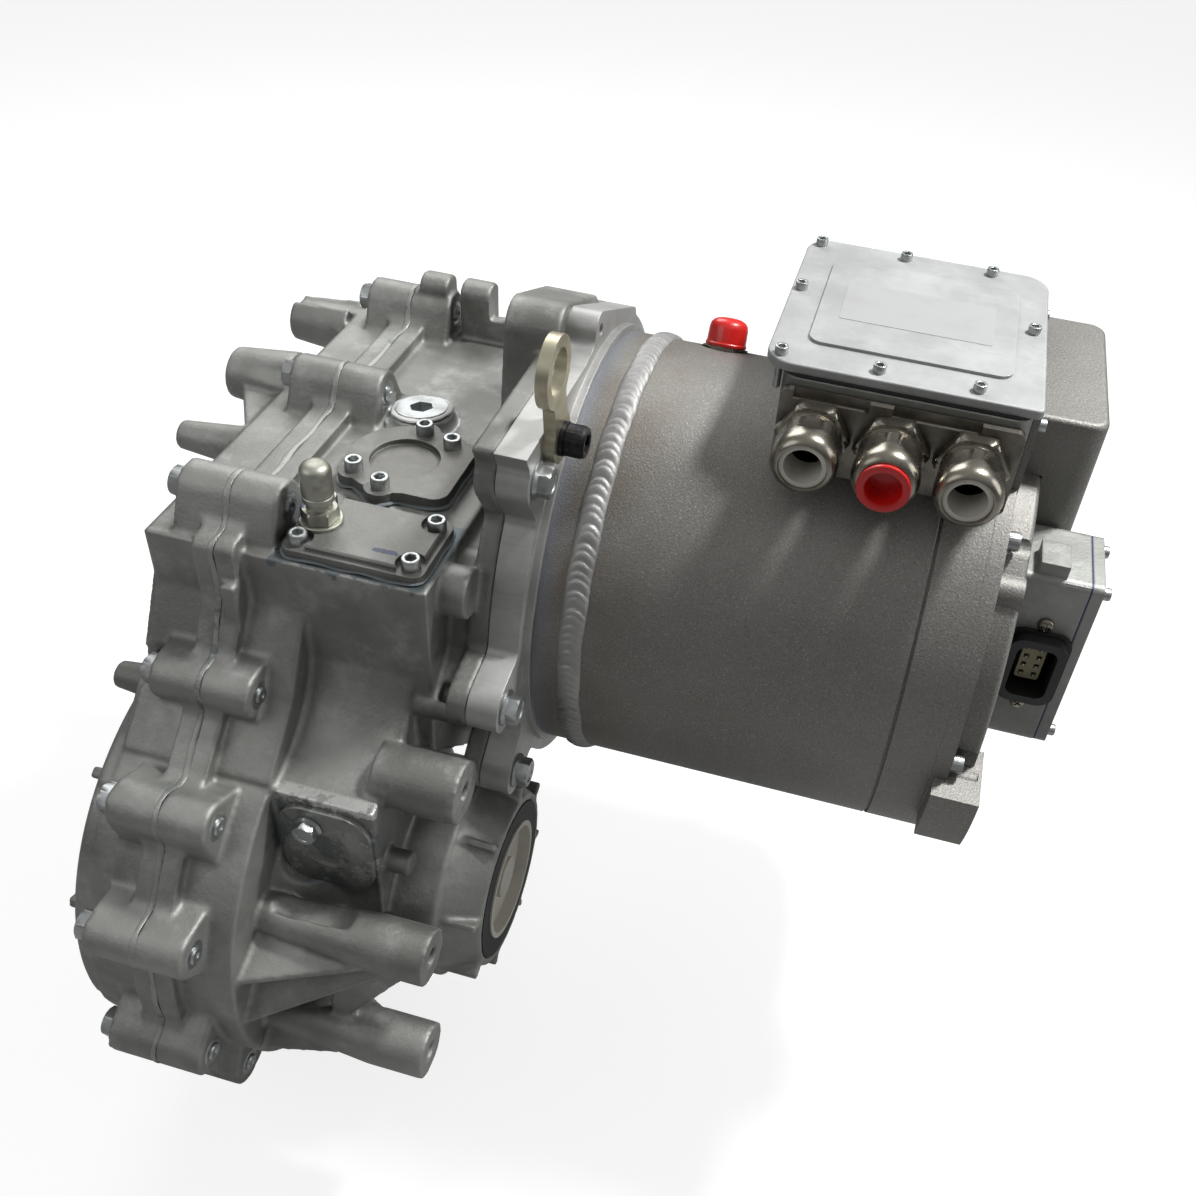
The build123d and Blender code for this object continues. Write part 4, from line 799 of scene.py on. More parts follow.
def turned(name: str, loops: Loops, count: int, hollow: bool = False) -> bpy.types.Mesh:
    """A shape made of closed loops stacked along +Z, each a circle or another polar curve.

    Args:
        name: the mesh's name.
        loops: height and radius of each loop, in millimetres.
        count: points of a loop.
        hollow: joins the last loop to the first, for the section of a ring.

    Returns:
        The mesh, in metres.
    """
    rings = []
    for z, radius in loops:
        ring = []
        for index in range(count):
            angle = 2 * math.pi * index / count
            r = radius(angle) if callable(radius) else radius
            ring.append((r * math.cos(angle) * MM, r * math.sin(angle) * MM, z * MM))
        rings.append(ring)
    return through(name, rings, hollow)


def shade(obj: bpy.types.Object, degrees: float = 35.0) -> None:
    """Shade an object smooth with sharp edges kept.

    Args:
        obj: the object.
        degrees: edges that turn by more than this stay sharp.
    """
    bm = bmesh.new()
    bm.from_mesh(obj.data)
    limit = math.radians(degrees)
    for face in bm.faces:
        face.smooth = True
    for edge in bm.edges:
        bend = edge.calc_face_angle(math.pi) if len(edge.link_faces) == 2 else math.pi
        edge.smooth = bend < limit
    bm.to_mesh(obj.data)
    bm.free()


def piece(name: str, mesh: bpy.types.Mesh) -> bpy.types.Object:
    """Link a mesh to the scene.

    Args:
        name: the object's name.
        mesh: its mesh.

    Returns:
        The object, at the origin.
    """
    obj = bpy.data.objects.new(name, mesh)
    bpy.context.scene.collection.objects.link(obj)
    return obj


def joined(name: str, parts: Iterable[tuple[bpy.types.Mesh, Matrix]]) -> bpy.types.Object:
    """One object from placed copies of meshes.

    Args:
        name: the object's name.
        parts: meshes with the matrices that place them.

    Returns:
        The object, at the origin.
    """
    bm = bmesh.new()
    for mesh, place in parts:
        copy = mesh.copy()
        copy.transform(place)
        bm.from_mesh(copy)
        bpy.data.meshes.remove(copy)
    return piece(name, mesh_of(bm, name))


def applied(obj: bpy.types.Object, name: str) -> bpy.types.Object:
    """Apply an object's modifiers.

    Args:
        obj: the object, which is removed with its modifiers.
        name: the new object's name.

    Returns:
        A plain mesh object at the origin.
    """
    bpy.context.view_layer.update()
    graph = bpy.context.evaluated_depsgraph_get()
    mesh = bpy.data.meshes.new_from_object(obj.evaluated_get(graph))
    obj.modifiers.clear()
    bpy.data.objects.remove(obj)
    mesh.name = name
    return piece(name, mesh)


def placed(x: float, y: float, z: float, direction: Direction, spin: float = 0.0) -> Matrix:
    """The matrix that puts a fitting at a place.

    Args:
        x: the place's X in millimetres.
        y: its Y.
        z: its Z.
        direction: the way in which the fitting's +Z points.
        spin: the turn about that, in radians.

    Returns:
        The matrix, in metres.
    """
    shift = Matrix.Translation((x * MM, y * MM, z * MM))
    return shift @ direction.turn() @ Matrix.Rotation(spin, 4, "Z")


@dataclass(frozen=True)
class Span:
    """A box in millimetres."""

    low: Vector
    high: Vector

    @property
    def middle(self) -> Vector:
        """The centre of the box."""
        return (self.low + self.high) / 2

    @property
    def size(self) -> Vector:
        """The lengths of the box."""
        return self.high - self.low


def merged(obj: bpy.types.Object) -> bmesh.types.BMesh:
    """Copy an object's mesh with its loose triangles joined.

    Args:
        obj: the object.

    Returns:
        The copy, which the caller frees.
    """
    bm = bmesh.new()
    bm.from_mesh(obj.data)
    bmesh.ops.remove_doubles(bm, verts=bm.verts, dist=MERGE_DISTANCE)
    return bm


def solids_of(obj: bpy.types.Object) -> list[Span]:
    """Find the separate solids of a node.

    Args:
        obj: the node's object.

    Returns:
        Their boxes, sorted by place.
    """
    bm = merged(obj)
    seen: set[int] = set()
    spans = []
    for start in bm.verts:
        if start.index in seen:
            continue
        seen.add(start.index)
        queue, points = [start], []
        while queue:
            vert = queue.pop()
            points.append(vert.co / MM)
            for edge in vert.link_edges:
                other = edge.other_vert(vert)
                if other.index not in seen:
                    seen.add(other.index)
                    queue.append(other)
        low = Vector([min(point[k] for point in points) for k in range(3)])
        high = Vector([max(point[k] for point in points) for k in range(3)])
        spans.append(Span(low, high))
    bm.free()
    return sorted(spans, key=lambda span: tuple(round(v, 2) for v in span.low))


# Geometry Nodes


class Pattern:
    """A Geometry Nodes tree with named inputs, run once on an object and then taken off."""

    def __init__(self, name: str) -> None:
        """Make a tree with a geometry input and output.

        Args:
            name: the tree's name.
        """
        self.tree = bpy.data.node_groups.new(name, "GeometryNodeTree")
        for way in ("INPUT", "OUTPUT"):
            self.tree.interface.new_socket(
                "Geometry", in_out=way, socket_type="NodeSocketGeometry"
            )
        self.entry = self.tree.nodes.new("NodeGroupInput")
        self.exit = self.tree.nodes.new("NodeGroupOutput")
        self.identifiers: dict[str, str] = {}

    def input(self, name: str, kind: str) -> bpy.types.NodeSocket:
        """Add a named input.

        Args:
            name: the input's name.
            kind: its socket type.

        Returns:
            Its socket on the entry node.
        """
        socket = self.tree.interface.new_socket(name, in_out="INPUT", socket_type=kind)
        self.identifiers[name] = socket.identifier
        return self.entry.outputs[name]

    def node(
        self, kind: str, inputs: Optional[dict] = None, settings: Optional[dict] = None
    ) -> bpy.types.Node:
        """Add a node.

        Args:
            kind: the node's type.
            inputs: socket name or index to a value or an output socket.
            settings: attributes that are set first.

        Returns:
            The node.
        """
        item = self.tree.nodes.new(kind)
        for key, value in (settings or {}).items():
            setattr(item, key, value)
        for key, value in (inputs or {}).items():
            if isinstance(value, bpy.types.NodeSocket):
                self.tree.links.new(value, item.inputs[key])
            else:
                item.inputs[key].default_value = value
        return item

    def close(self, geometry: bpy.types.NodeSocket, material: bpy.types.NodeSocket) -> None:
        """End the tree in Realize Instances and Set Material.

        Args:
            geometry: the socket of the tree's geometry.
            material: the socket of its material.
        """
        real = self.node("GeometryNodeRealizeInstances", {"Geometry": geometry})
        inputs = {"Geometry": real.outputs[0], "Material": material}
        dressed = self.node("GeometryNodeSetMaterial", inputs)
        self.tree.links.new(dressed.outputs[0], self.exit.inputs[0])

    def run(self, name: str, base: bpy.types.Object, values: dict[str, Any]) -> bpy.types.Object:
        """Apply the tree to a base object.

        Args:
            name: the new object's name.
            base: the object whose geometry enters the tree; it is removed.
            values: input name to value.

        Returns:
            The result as a plain mesh object at the origin.
        """
        modifier = base.modifiers.new("pattern", "NODES")
        modifier.node_group = self.tree
        for key, value in values.items():
            modifier[self.identifiers[key]] = value
        return applied(base, name)


class Scatter:
    """Puts one fitting at many places: screws, bolts, crescents of the weld."""

    def __init__(self) -> None:
        """Build the tree once."""
        pattern = Pattern("fitting_scatter")
        thing = pattern.input("Fitting", "NodeSocketObject")
        material = pattern.input("Material", "NodeSocketMaterial")
        seed = pattern.input("Seed", "NodeSocketInt")
        spin = pattern.input("Spin", "NodeSocketFloat")
        original = {"transform_space": "ORIGINAL"}
        info = pattern.node("GeometryNodeObjectInfo", {"Object": thing}, original)
        vector = {"data_type": "FLOAT_VECTOR"}
        turn = pattern.node("GeometryNodeInputNamedAttribute", {"Name": "turn"}, vector)
        low = pattern.node("ShaderNodeMath", {0: spin, 1: -1.0}, {"operation": "MULTIPLY"})
        between = {2: low.outputs[0], 3: spin, "Seed": seed}
        chance = pattern.node("FunctionNodeRandomValue", between, {"data_type": "FLOAT"})
        own = pattern.node("ShaderNodeCombineXYZ", {2: chance.outputs[1]})
        places = {"Mesh": pattern.entry.outputs["Geometry"]}
        points = pattern.node("GeometryNodeMeshToPoints", places)
        copies = pattern.node("GeometryNodeInstanceOnPoints", {
            "Points": points.outputs[0],
            "Instance": info.outputs["Geometry"],
            "Rotation": turn.outputs["Attribute"],
        })
        turns = {"Instances": copies.outputs[0], "Rotation": own.outputs[0]}
        spun = pattern.node("GeometryNodeRotateInstances", turns)
        pattern.close(spun.outputs[0], material)
        self.pattern = pattern

    def put(
        self,
        name: str,
        mesh: bpy.types.Mesh,
        places: Sequence[Matrix],
        material: bpy.types.Material,
        seed: int,
        spin: float = 0.0,
    ) -> bpy.types.Object:
        """Copy a mesh to places.

        Args:
            name: the new object's name.
            mesh: the fitting, along +Z.
            places: matrices without scale.
            material: its material.
            seed: seed of the random spin.
            spin: largest spin about the fitting's own axis, in radians.

        Returns:
            One object with all the copies.
        """
        cloud = bpy.data.meshes.new(name + "_places")
        cloud.from_pydata([tuple(matrix.translation) for matrix in places], [], [])
        turns = cloud.attributes.new("turn", "FLOAT_VECTOR", "POINT")
        for item, matrix in zip(turns.data, places):
            item.vector = matrix.to_euler()
        base = piece(name + "_places", cloud)
        fitting = piece(name + "_fitting", mesh)
        values = {"Fitting": fitting, "Material": material, "Seed": seed, "Spin": spin}
        result = self.pattern.run(name, base, values)
        bpy.data.objects.remove(fitting)
        return result


# Fittings, in millimetres, along +Z with the underside of the head at the origin


def socket_screw_mesh(size: float, length: float) -> bpy.types.Mesh:
    """A socket head cap screw.

    Args:
        size: the thread size.
        length: its length under the head.

    Returns:
        The mesh.
    """
    head, shank = size * 0.8, size / 2 - 0.05
    rim = knurl(head, 24, size * 0.035)
    key = hexagon(size * 0.83)
    loops: Loops = [
        (-length, shank * 0.8), (-length + size * 0.12, shank), (0.0, shank), (0.0, head * 0.97),
        (size * 0.08, rim), (size * 0.80, rim), (size * 0.84, head * 0.96),
        (size * 0.97, head * 0.92), (size, head * 0.84), (size, size * 0.52),
        (size * 0.96, key), (size * 0.45, key), (size * 0.36, 0.02),
    ]
    return turned("socket_screw", loops, 72)


def flange_bolt_mesh(size: float, length: float) -> bpy.types.Mesh:
    """A hexagon flange bolt.

    Args:
        size: the thread size.
        length: its length under the flange.

    Returns:
        The mesh.
    """
    flange, shank, wide = size * 0.95, size / 2 - 0.05, size * 1.45
    block = hexagon(wide)
    loops: Loops = [
        (-length, shank * 0.8), (-length + size * 0.12, shank), (0.0, shank),
        (0.0, flange * 0.97), (size * 0.04, flange), (size * 0.10, flange),
        (size * 0.24, at_most(block, flange * 0.86)), (size * 0.70, at_most(block, wide * 0.575)),
        (size * 0.80, at_most(block, wide * 0.50)), (size * 0.80, wide * 0.36),
        (size * 0.74, wide * 0.33), (size * 0.74, 0.05),
    ]
    return turned("flange_bolt", loops, 72)


def threaded_end_mesh(r: float, length: float) -> bpy.types.Mesh:
    """The chamfered end of a screw that shows in its boss.

    Args:
        r: radius of the thread.
        length: how far it stands out of its root.

    Returns:
        The mesh.
    """
    loops: Loops = [
        (-2.0, r * 1.5), (0.0, r * 1.5), (0.25, r * 1.42), (0.25, r * 0.96),
        (length - 0.8, r * 0.96), (length, r * 0.78), (length, r * 0.36),
        (length - 0.7, r * 0.2), (length - 0.9, 0.02),
    ]
    return turned("threaded_end", loops, 32)


def pan_screw_mesh(r: float) -> bpy.types.Mesh:
    """A pan head screw with a cross recess.

    Args:
        r: radius of its head.

    Returns:
        The mesh.
    """
    recess = cross(r * 0.62, r * 0.2)
    loops: Loops = [
        (-4.0, r * 0.45), (0.0, r * 0.45), (0.0, r), (r * 0.22, r * 1.0), (r * 0.42, r * 0.9),
        (r * 0.56, r * 0.74), (r * 0.62, recess), (r * 0.30, lambda a: recess(a) * 0.7),
        (r * 0.28, 0.02),
    ]
    return turned("pan_screw", loops, 64)


# The unit


@dataclass
class Context:
    """What every sub-assembly works with."""

    nodes: dict[str, bpy.types.Object]
    finishes: Finishes
    scatter: Scatter

    def settle(
        self, obj: bpy.types.Object, body: str, slot: str, *nodes: str, finish: Optional[str] = None
    ) -> None:
        """Finish a piece: shade it, dress it, let it ride and stand for its nodes.

        Args:
            obj: the piece.
            body: the body that it rides on.
            slot: its material slot.
            *nodes: the nodes that it replaces.
            finish: the finish that it wears, where that isn't its slot's own.
        """
        self.finishes.dress(obj, finish or slot)
        shade(obj)
        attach(obj, body)
        if nodes:
            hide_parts(*nodes)
        log.info("piece %s on %s with %d faces", obj.name, body, len(obj.data.polygons))


class Assembly(Protocol):
    """What every sub-assembly can do."""

    def build(self, ctx: Context) -> None:
        """Build the pieces and settle them.

        Args:
            ctx: what every sub-assembly works with.
        """


@dataclass
class WeldBead:
    """The weld between front ring and housing tube, as overlapping crescents.

    The profile gives the place along a crescent, as a share of its length, and its height there.
    """

    x: float = 20.0
    seat_r: float = 120.0
    width: float = 13.0
    height: float = 2.7
    pitch: float = 4.7
    sunk: float = 0.25
    length: float = 2.1
    bow: float = 1.15
    across: int = 14
    turn_wander: Wave = (0.006, 2.7, 0.0)
    r_wander: Wave = (0.10, 1.9, 0.0)
    x_wander: Wave = (0.0003, 0.83, 0.0)
    profile: tuple[tuple[float, float], ...] = (
        (0.0, 0.30), (0.25, 0.62), (0.5, 0.84), (0.72, 0.97), (0.84, 1.0), (0.92, 0.90),
        (0.97, 0.68), (1.0, 0.35),
    )

    def ripple(self) -> bpy.types.Mesh:
        """One crescent: a low closed dome that leans along the seam."""
        rings = []
        for v, rise in self.profile:
            ring = []
            for j in range(self.across + 1):
                u = j / self.across * 2 - 1
                bulge = (1 - u * u) * self.pitch * self.bow
                y = v * self.pitch * self.length + bulge - self.pitch
                z = math.sqrt(max(0.0, 1 - u * u)) * rise * self.height - self.sunk
                ring.append((u * self.width / 2 * MM, y * MM, z * MM))
            rings.append(ring)
        return through("ripple", rings)

    def build(self, ctx: Context) -> None:
        """Lay the crescents round the seam, each a little off its place.

        Args:
            ctx: what every sub-assembly works with.
        """
        count = round(2 * math.pi * self.seat_r / self.pitch)
        places = []
        for index in range(count):
            angle = 2 * math.pi * index / count + wavy(index, self.turn_wander)
            r = (self.seat_r + wavy(index, self.r_wander)) * MM
            x = self.x * MM + wavy(index, self.x_wander)
            spin = Matrix.Rotation(angle, 4, "X")
            lift = Matrix.Translation((0.0, 0.0, r))
            places.append(Matrix.Translation((x, 0.0, 0.0)) @ spin @ lift)
        slot = "weld_aluminium"
        obj = ctx.scatter.put("weld_ripples", self.ripple(), places, ctx.finishes[slot], 3)
        ctx.settle(obj, HOUSING, slot, "housing_weld_bead")


class Head(Enum):
    """The kinds of screw head, with the head's height as a share of the thread size."""

    SOCKET = 1.0
    HEXAGON = 0.8

    def mesh(self, size: float, length: float) -> bpy.types.Mesh:
        """The screw's mesh for a thread size and a length under the head."""
        screw = socket_screw_mesh if self is Head.SOCKET else flange_bolt_mesh
        return screw(size, length)


@dataclass
class Fasteners:
    """All screws and bolts of one node, copied to the places of its solids.

    The facings give the way in which heads point, by the axis along which a screw is longest.
    """

    node: str
    size: float
    head: Head
    slot: str
    facings: dict[int, Direction]
    seed: int = 1

    def build(self, ctx: Context) -> None:
        """Put a detailed screw where each solid of the node is.

        Args:
            ctx: what every sub-assembly works with.
        """
        groups: dict[int, list[Matrix]] = {}
        height = self.size * self.head.value
        for span in solids_of(ctx.nodes[self.node]):
            longest = max(self.facings, key=lambda k: span.size[k])
            direction = self.facings[longest]
            seat = span.middle
            sign = sum(direction.value)
            end = span.high if sign > 0 else span.low
            seat[longest] = end[longest] - sign * height
            length = round(span.size[longest] - height)
            groups.setdefault(length, []).append(placed(*seat, direction))
        parts = []
        for length, places in sorted(groups.items()):
            mesh = self.head.mesh(self.size, float(length))
            name, material = f"{self.node}_{length}", ctx.finishes[self.slot]
            obj = ctx.scatter.put(name, mesh, places, material, self.seed + length, math.pi)
            parts.append((obj.data, Matrix.Identity(4)))
            bpy.data.objects.remove(obj)
        ctx.settle(joined(self.node + "_detailed", parts), HOUSING, self.slot, self.node)


@dataclass
class PanScrews:
    """The bright pan head screws above and below the signal connector."""

    node: str = "connector_screws"
    r: float = 4.0

    def build(self, ctx: Context) -> None:
        """Put a cross recessed screw where each solid of the node is.

        Args:
            ctx: what every sub-assembly works with.
        """
        seat = self.r * 0.62
        places = [
            placed(span.middle.x, span.low.y + seat, span.middle.z, Direction.FRONT)
            for span in solids_of(ctx.nodes[self.node])
        ]
        name, mesh = self.node + "_detailed", pan_screw_mesh(self.r)
        obj = ctx.scatter.put(name, mesh, places, ctx.finishes["nickel"], 2, 1.0)
        ctx.settle(obj, HOUSING, "nickel", self.node)


@dataclass
class SoftCasting:
    """A casting whose edges melt into soft blends, made from a merged copy of its solid.

    The voxel is in metres, and the limit is the most triangles that are kept.
    """

    node: str
    slot: str = "cast_aluminium"
    voxel: float = 0.0014
    passes: int = 2
    limit: int = 190000

    def build(self, ctx: Context) -> None:
        """Remesh the copy finely, smooth it and thin it to the limit.

        Args:
            ctx: what every sub-assembly works with.
        """
        name = self.node + "_skin"
        obj = piece(self.node + "_copy", mesh_of(merged(ctx.nodes[self.node]), self.node + "_copy"))
        skin = obj.modifiers.new("skin", "REMESH")
        skin.mode = "VOXEL"
        skin.voxel_size = self.voxel
        soft = obj.modifiers.new("soft", "SMOOTH")
        soft.factor = 0.5
        soft.iterations = self.passes
        obj = applied(obj, name)
        count = sum(len(face.vertices) - 2 for face in obj.data.polygons)
        if count > self.limit:
            thin = obj.modifiers.new("thin", "DECIMATE")
            thin.ratio = self.limit / count
            obj = applied(obj, name)
        log.info("%s: %d triangles before thinning", self.node, count)
        ctx.settle(obj, HOUSING, self.slot, self.node)
        for face in obj.data.polygons:
            face.use_smooth = True
        sharp = obj.data.attributes.get("sharp_edge")
        if sharp is not None:
            obj.data.attributes.remove(sharp)


def path_length(points: Sequence[Vector]) -> float:
    """The length of an open path."""
    return sum((a - b).length for a, b in zip(points, points[1:]))


def evenly(path: Sequence[Vector], step: float) -> list[Vector]:
    """Points at even steps along a closed path.

    Args:
        path: the corners of the path.
        step: the distance between points.

    Returns:
        The points.
    """
    points, walked, goal = [], 0.0, 0.0
    for first, second in zip(path, [*path[1:], path[0]]):
        side = (second - first).length
        while side > 0 and goal <= walked + side:
            points.append(first.lerp(second, (goal - walked) / side))
            goal += step
        walked += side
    return points


@dataclass
class Seam:
    """A bead of sealant pressed out where a piece meets a plane square to an axis, in metres.

    The bead is spread along the axis and rises off the wall, both as shares of its radius r.
    """

    node: str
    level: float
    axis: Direction = Direction.RIGHT
    finish: str = "seam_sealant"
    r: float = 0.0010
    spread: float = 1.7
    rise: float = 0.35
    step: float = 0.0035
    sides: int = 8
    shift: Wave = (0.0005, 0.61, 0.0)
    waves: tuple[Wave, ...] = ((0.35, 0.9, 0.0), (0.4, 0.37, 1.0), (0.25, 2.3, 0.0))

    def outline(self, ctx: Context) -> list[Vector]:
        """The longest outline of the node in the plane.

        Args:
            ctx: what every sub-assembly works with.

        Returns:
            Its corners, in order.
        """
        bm = merged(ctx.nodes[self.node])
        axis = Vector(self.axis.value)
        cut = bmesh.ops.bisect_plane(
            bm, geom=bm.verts[:] + bm.edges[:] + bm.faces[:], dist=1e-7,
            plane_co=axis * self.level, plane_no=axis, clear_outer=True, clear_inner=True,
        )
        links: dict[bmesh.types.BMVert, list[bmesh.types.BMVert]] = {}
        for edge in cut["geom_cut"]:
            if isinstance(edge, bmesh.types.BMEdge):
                for vert in edge.verts:
                    links.setdefault(vert, []).append(edge.other_vert(vert))
        chains: list[list[Vector]] = []
        seen: set[bmesh.types.BMVert] = set()
        for start in links:
            if start in seen:
                continue
            chain, here = [], start
            while here is not None:
                seen.add(here)
                chain.append(here.co.copy())
                here = next((other for other in links[here] if other not in seen), None)
            chains.append(chain)
        bm.free()
        return max(chains, key=path_length)

    def build(self, ctx: Context) -> None:
        """Run an uneven bead along the outline.

        Args:
            ctx: what every sub-assembly works with.
        """
        points = evenly(self.outline(ctx), self.step)
        axis = Vector(self.axis.value)
        corners = [math.tau * k / self.sides for k in range(self.sides)]
        rings = []
        for index, point in enumerate(points):
            along = (points[(index + 1) % len(points)] - points[index - 1]).normalized()
            out = along.cross(axis).normalized()
            r = self.r * (0.9 + 0.3 * wavy(index, *self.waves))
            middle = point + axis * wavy(index, self.shift)
            rings.append([
                middle + (axis * math.cos(a) * self.spread + out * math.sin(a) * self.rise) * r
                for a in corners
            ])
        name = self.node + "_seam"
        obj = piece(name, through(name, rings, True))
        ctx.settle(obj, HOUSING, "seal_rubber", finish=self.finish)


@dataclass
class Glands:
    """The three open cable glands: hexagon body, ribbed neck, domed cap nut and seal."""

    face_y: float = -52.0
    z: float = 131.5
    hexagon_width: float = 31.5
    nut_width: float = 29.6
    nut_r: float = 15.9
    bore_r: float = 11.0
    total: float = 34.0

    def body_mesh(self) -> bpy.types.Mesh:
        """The hexagon, the collar and the ribbed neck."""
        wide = self.hexagon_width
        block = hexagon(wide)
        loops: Loops = [
            (-4.0, 11.8), (0.0, 11.8), (0.0, at_most(block, wide * 0.56)),
            (0.6, at_most(block, wide * 0.575)), (6.4, at_most(block, wide * 0.575)),
            (7.6, at_most(block, wide * 0.525)), (8.0, 14.6), (8.9, 14.6), (9.2, 14.0),
            (9.6, 14.0), (9.9, 14.6), (10.7, 14.6), (11.0, 14.0), (11.4, 14.0), (11.7, 14.6),
            (12.4, 14.6), (12.7, 13.9), (13.0, 13.9), (13.0, 10.2), (-4.0, 10.2),
        ]
        return turned("gland_body", loops, 72, hollow=True)

    def nut_mesh(self) -> bpy.types.Mesh:
        """The domed cap nut: facets at its root that run out into the dome."""
        r, total, bore = self.nut_r, self.total, self.bore_r + 0.05
        block = hexagon(self.nut_width)
        facets = at_most(block, r * 0.995)
        loops: Loops = [
            (12.6, r * 0.88), (12.8, at_most(block, r * 0.96)), (13.4, facets), (21.0, facets),
            (21.8, at_most(lambda a: block(a) * 1.015, r)),
            (22.6, at_most(lambda a: block(a) * 1.045, r)), (23.4, r), (27.0, r),
            (29.0, r * 0.99), (30.6, r * 0.965), (31.9, r * 0.925), (32.9, r * 0.875),
            (33.6, r * 0.82), (total, r * 0.765), (total - 0.2, r * 0.725), (total - 1.0, bore),
            (14.2, bore), (12.6, 12.6),
        ]
        return turned("gland_nut", loops, 96, hollow=True)

    def build(self, ctx: Context) -> None:
        """Lay out bodies and nuts along the plate, each turned a little its own way.

        Args:
            ctx: what every sub-assembly works with.
        """
        spans = solids_of(ctx.nodes["gland_bodies"])
        places = [placed(span.middle.x, self.face_y, self.z, Direction.FRONT) for span in spans]
        for node, mesh, seed, spin in (
            ("gland_bodies", self.body_mesh(), 5, 0.09),
            ("gland_nuts", self.nut_mesh(), 9, 0.5),
        ):
            material = ctx.finishes["nickel"]
            obj = ctx.scatter.put(node + "_detailed", mesh, places, material, seed, spin)
            ctx.settle(obj, HOUSING, "nickel", node)


@dataclass
class GlandPlug:
    """The red cup that closes the middle gland: a flat rim round a deep, narrowing hole."""

    r: float = 12.4
    hole_r: float = 8.4
    depth: float = 10.0

    def build(self, ctx: Context) -> None:
        """Turn the cup and set its rim in the gland's mouth.

        Args:
            ctx: what every sub-assembly works with.
        """
        r, hole, depth = self.r, self.hole_r, self.depth
        loops: Loops = [
            (-depth - 1.5, 7.6), (-depth - 1.5, 8.8), (-1.8, 9.6), (-1.8, r - 0.4), (-1.5, r),
            (-0.5, r), (-0.1, r - 0.4), (0.0, r - 1.0), (0.0, hole + 0.9), (-0.3, hole + 0.3),
            (-0.9, hole), (-depth, hole - 1.2), (-depth, 0.05),
        ]
        low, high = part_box("gland_plug")
        span = Span(low / MM, high / MM)
        place = placed(span.middle.x, span.low.y, span.middle.z, Direction.FRONT)
        obj = joined("gland_plug_detailed", [(turned("gland_plug", loops, 64), place)])
        ctx.settle(obj, HOUSING, "red_rubber", "gland_plug")


@dataclass
class Breather:
    """The breather valve on the square cover: washer, hexagon, neck and domed cap."""

    wide: float = 16.5
    total: float = 34.0
    turn: float = 0.35

    def build(self, ctx: Context) -> None:
        """Turn the valve and set it on the cover.

        Args:
            ctx: what every sub-assembly works with.
        """
        wide = self.wide
        block = hexagon(wide)
        loops: Loops = [
            (-6.0, 4.6), (0.0, 4.6), (0.0, 10.6), (0.4, 10.8), (1.6, 10.8), (2.0, 10.4),
            (2.0, 8.0), (2.2, at_most(block, wide * 0.56)), (2.8, at_most(block, wide * 0.575)),
            (7.6, at_most(block, wide * 0.575)), (8.6, at_most(block, wide * 0.51)), (8.8, 6.4),
            (12.2, 6.2), (12.6, 7.2), (13.2, 7.75), (16.0, 7.8), (16.4, 7.45), (17.0, 7.45),
            (17.4, 7.8), (28.5, 7.8), (30.6, 7.5), (32.2, 6.7), (33.3, 5.2), (33.9, 3.0),
            (self.total, 0.03),
        ]
        low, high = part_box("breather")
        span = Span(low / MM, high / MM)
        foot = span.high.z - self.total
        place = placed(span.middle.x, span.middle.y, foot, Direction.UP, self.turn)
        obj = joined("breather_detailed", [(turned("breather", loops, 72), place)])
        ctx.settle(obj, HOUSING, "yellow_zinc", "breather", finish="breather_zinc")


@dataclass
class NozzleCaps:
    """The soft caps on the coolant nozzles: a rolled rim and a domed top."""

    angles: tuple[float, ...] = (65.0, -40.0)
    x: tuple[float, ...] = (54.0, 150.0)
    seat_r: float = 118.0
    r: float = 11.5
    start: float = 3.3
    top: float = 19.0

    def build(self, ctx: Context) -> None:
        """Turn one cap for each nozzle.

        Args:
            ctx: what every sub-assembly works with.
        """
        r, start, top = self.r, self.start, self.top
        loops: Loops = [
            (start, r - 1.6), (start, r - 0.3), (start + 0.5, r), (start + 1.6, r),
            (start + 2.2, r - 0.5), (top - 6.0, r - 0.7), (top - 3.4, r - 1.3),
            (top - 1.7, r - 2.7), (top - 0.6, r - 4.9), (top - 0.1, r - 7.6), (top, 0.05),
        ]
        mesh = turned("nozzle_cap", loops, 64)
        lift = Matrix.Translation((0.0, 0.0, self.seat_r * MM))
        parts = []
        for x, angle in zip(self.x, self.angles):
            turn = Matrix.Rotation(math.radians(angle - 90.0), 4, "X")
            parts.append((mesh, Matrix.Translation((x * MM, 0.0, 0.0)) @ turn @ lift))
        obj = joined("nozzle_caps_detailed", parts)
        ctx.settle(obj, HOUSING, "red_rubber", "coolant_nozzle_caps")


@dataclass
class BossEnds:
    """The ends of the housing bolts that show in the bosses on the motor side."""

    x: float = -122.0
    r: float = 5.0
    length: float = 1.8

    def build(self, ctx: Context) -> None:
        """Put one threaded end on the axis of each housing bolt.

        Args:
            ctx: what every sub-assembly works with.
        """
        spans = solids_of(ctx.nodes["housing_bolts"])
        places = [placed(self.x, span.middle.y, span.middle.z, Direction.RIGHT) for span in spans]
        mesh, material = threaded_end_mesh(self.r, self.length), ctx.finishes["zinc_steel"]
        obj = ctx.scatter.put("housing_bolt_ends", mesh, places, material, 4, 1.0)
        ctx.settle(obj, HOUSING, "zinc_steel")


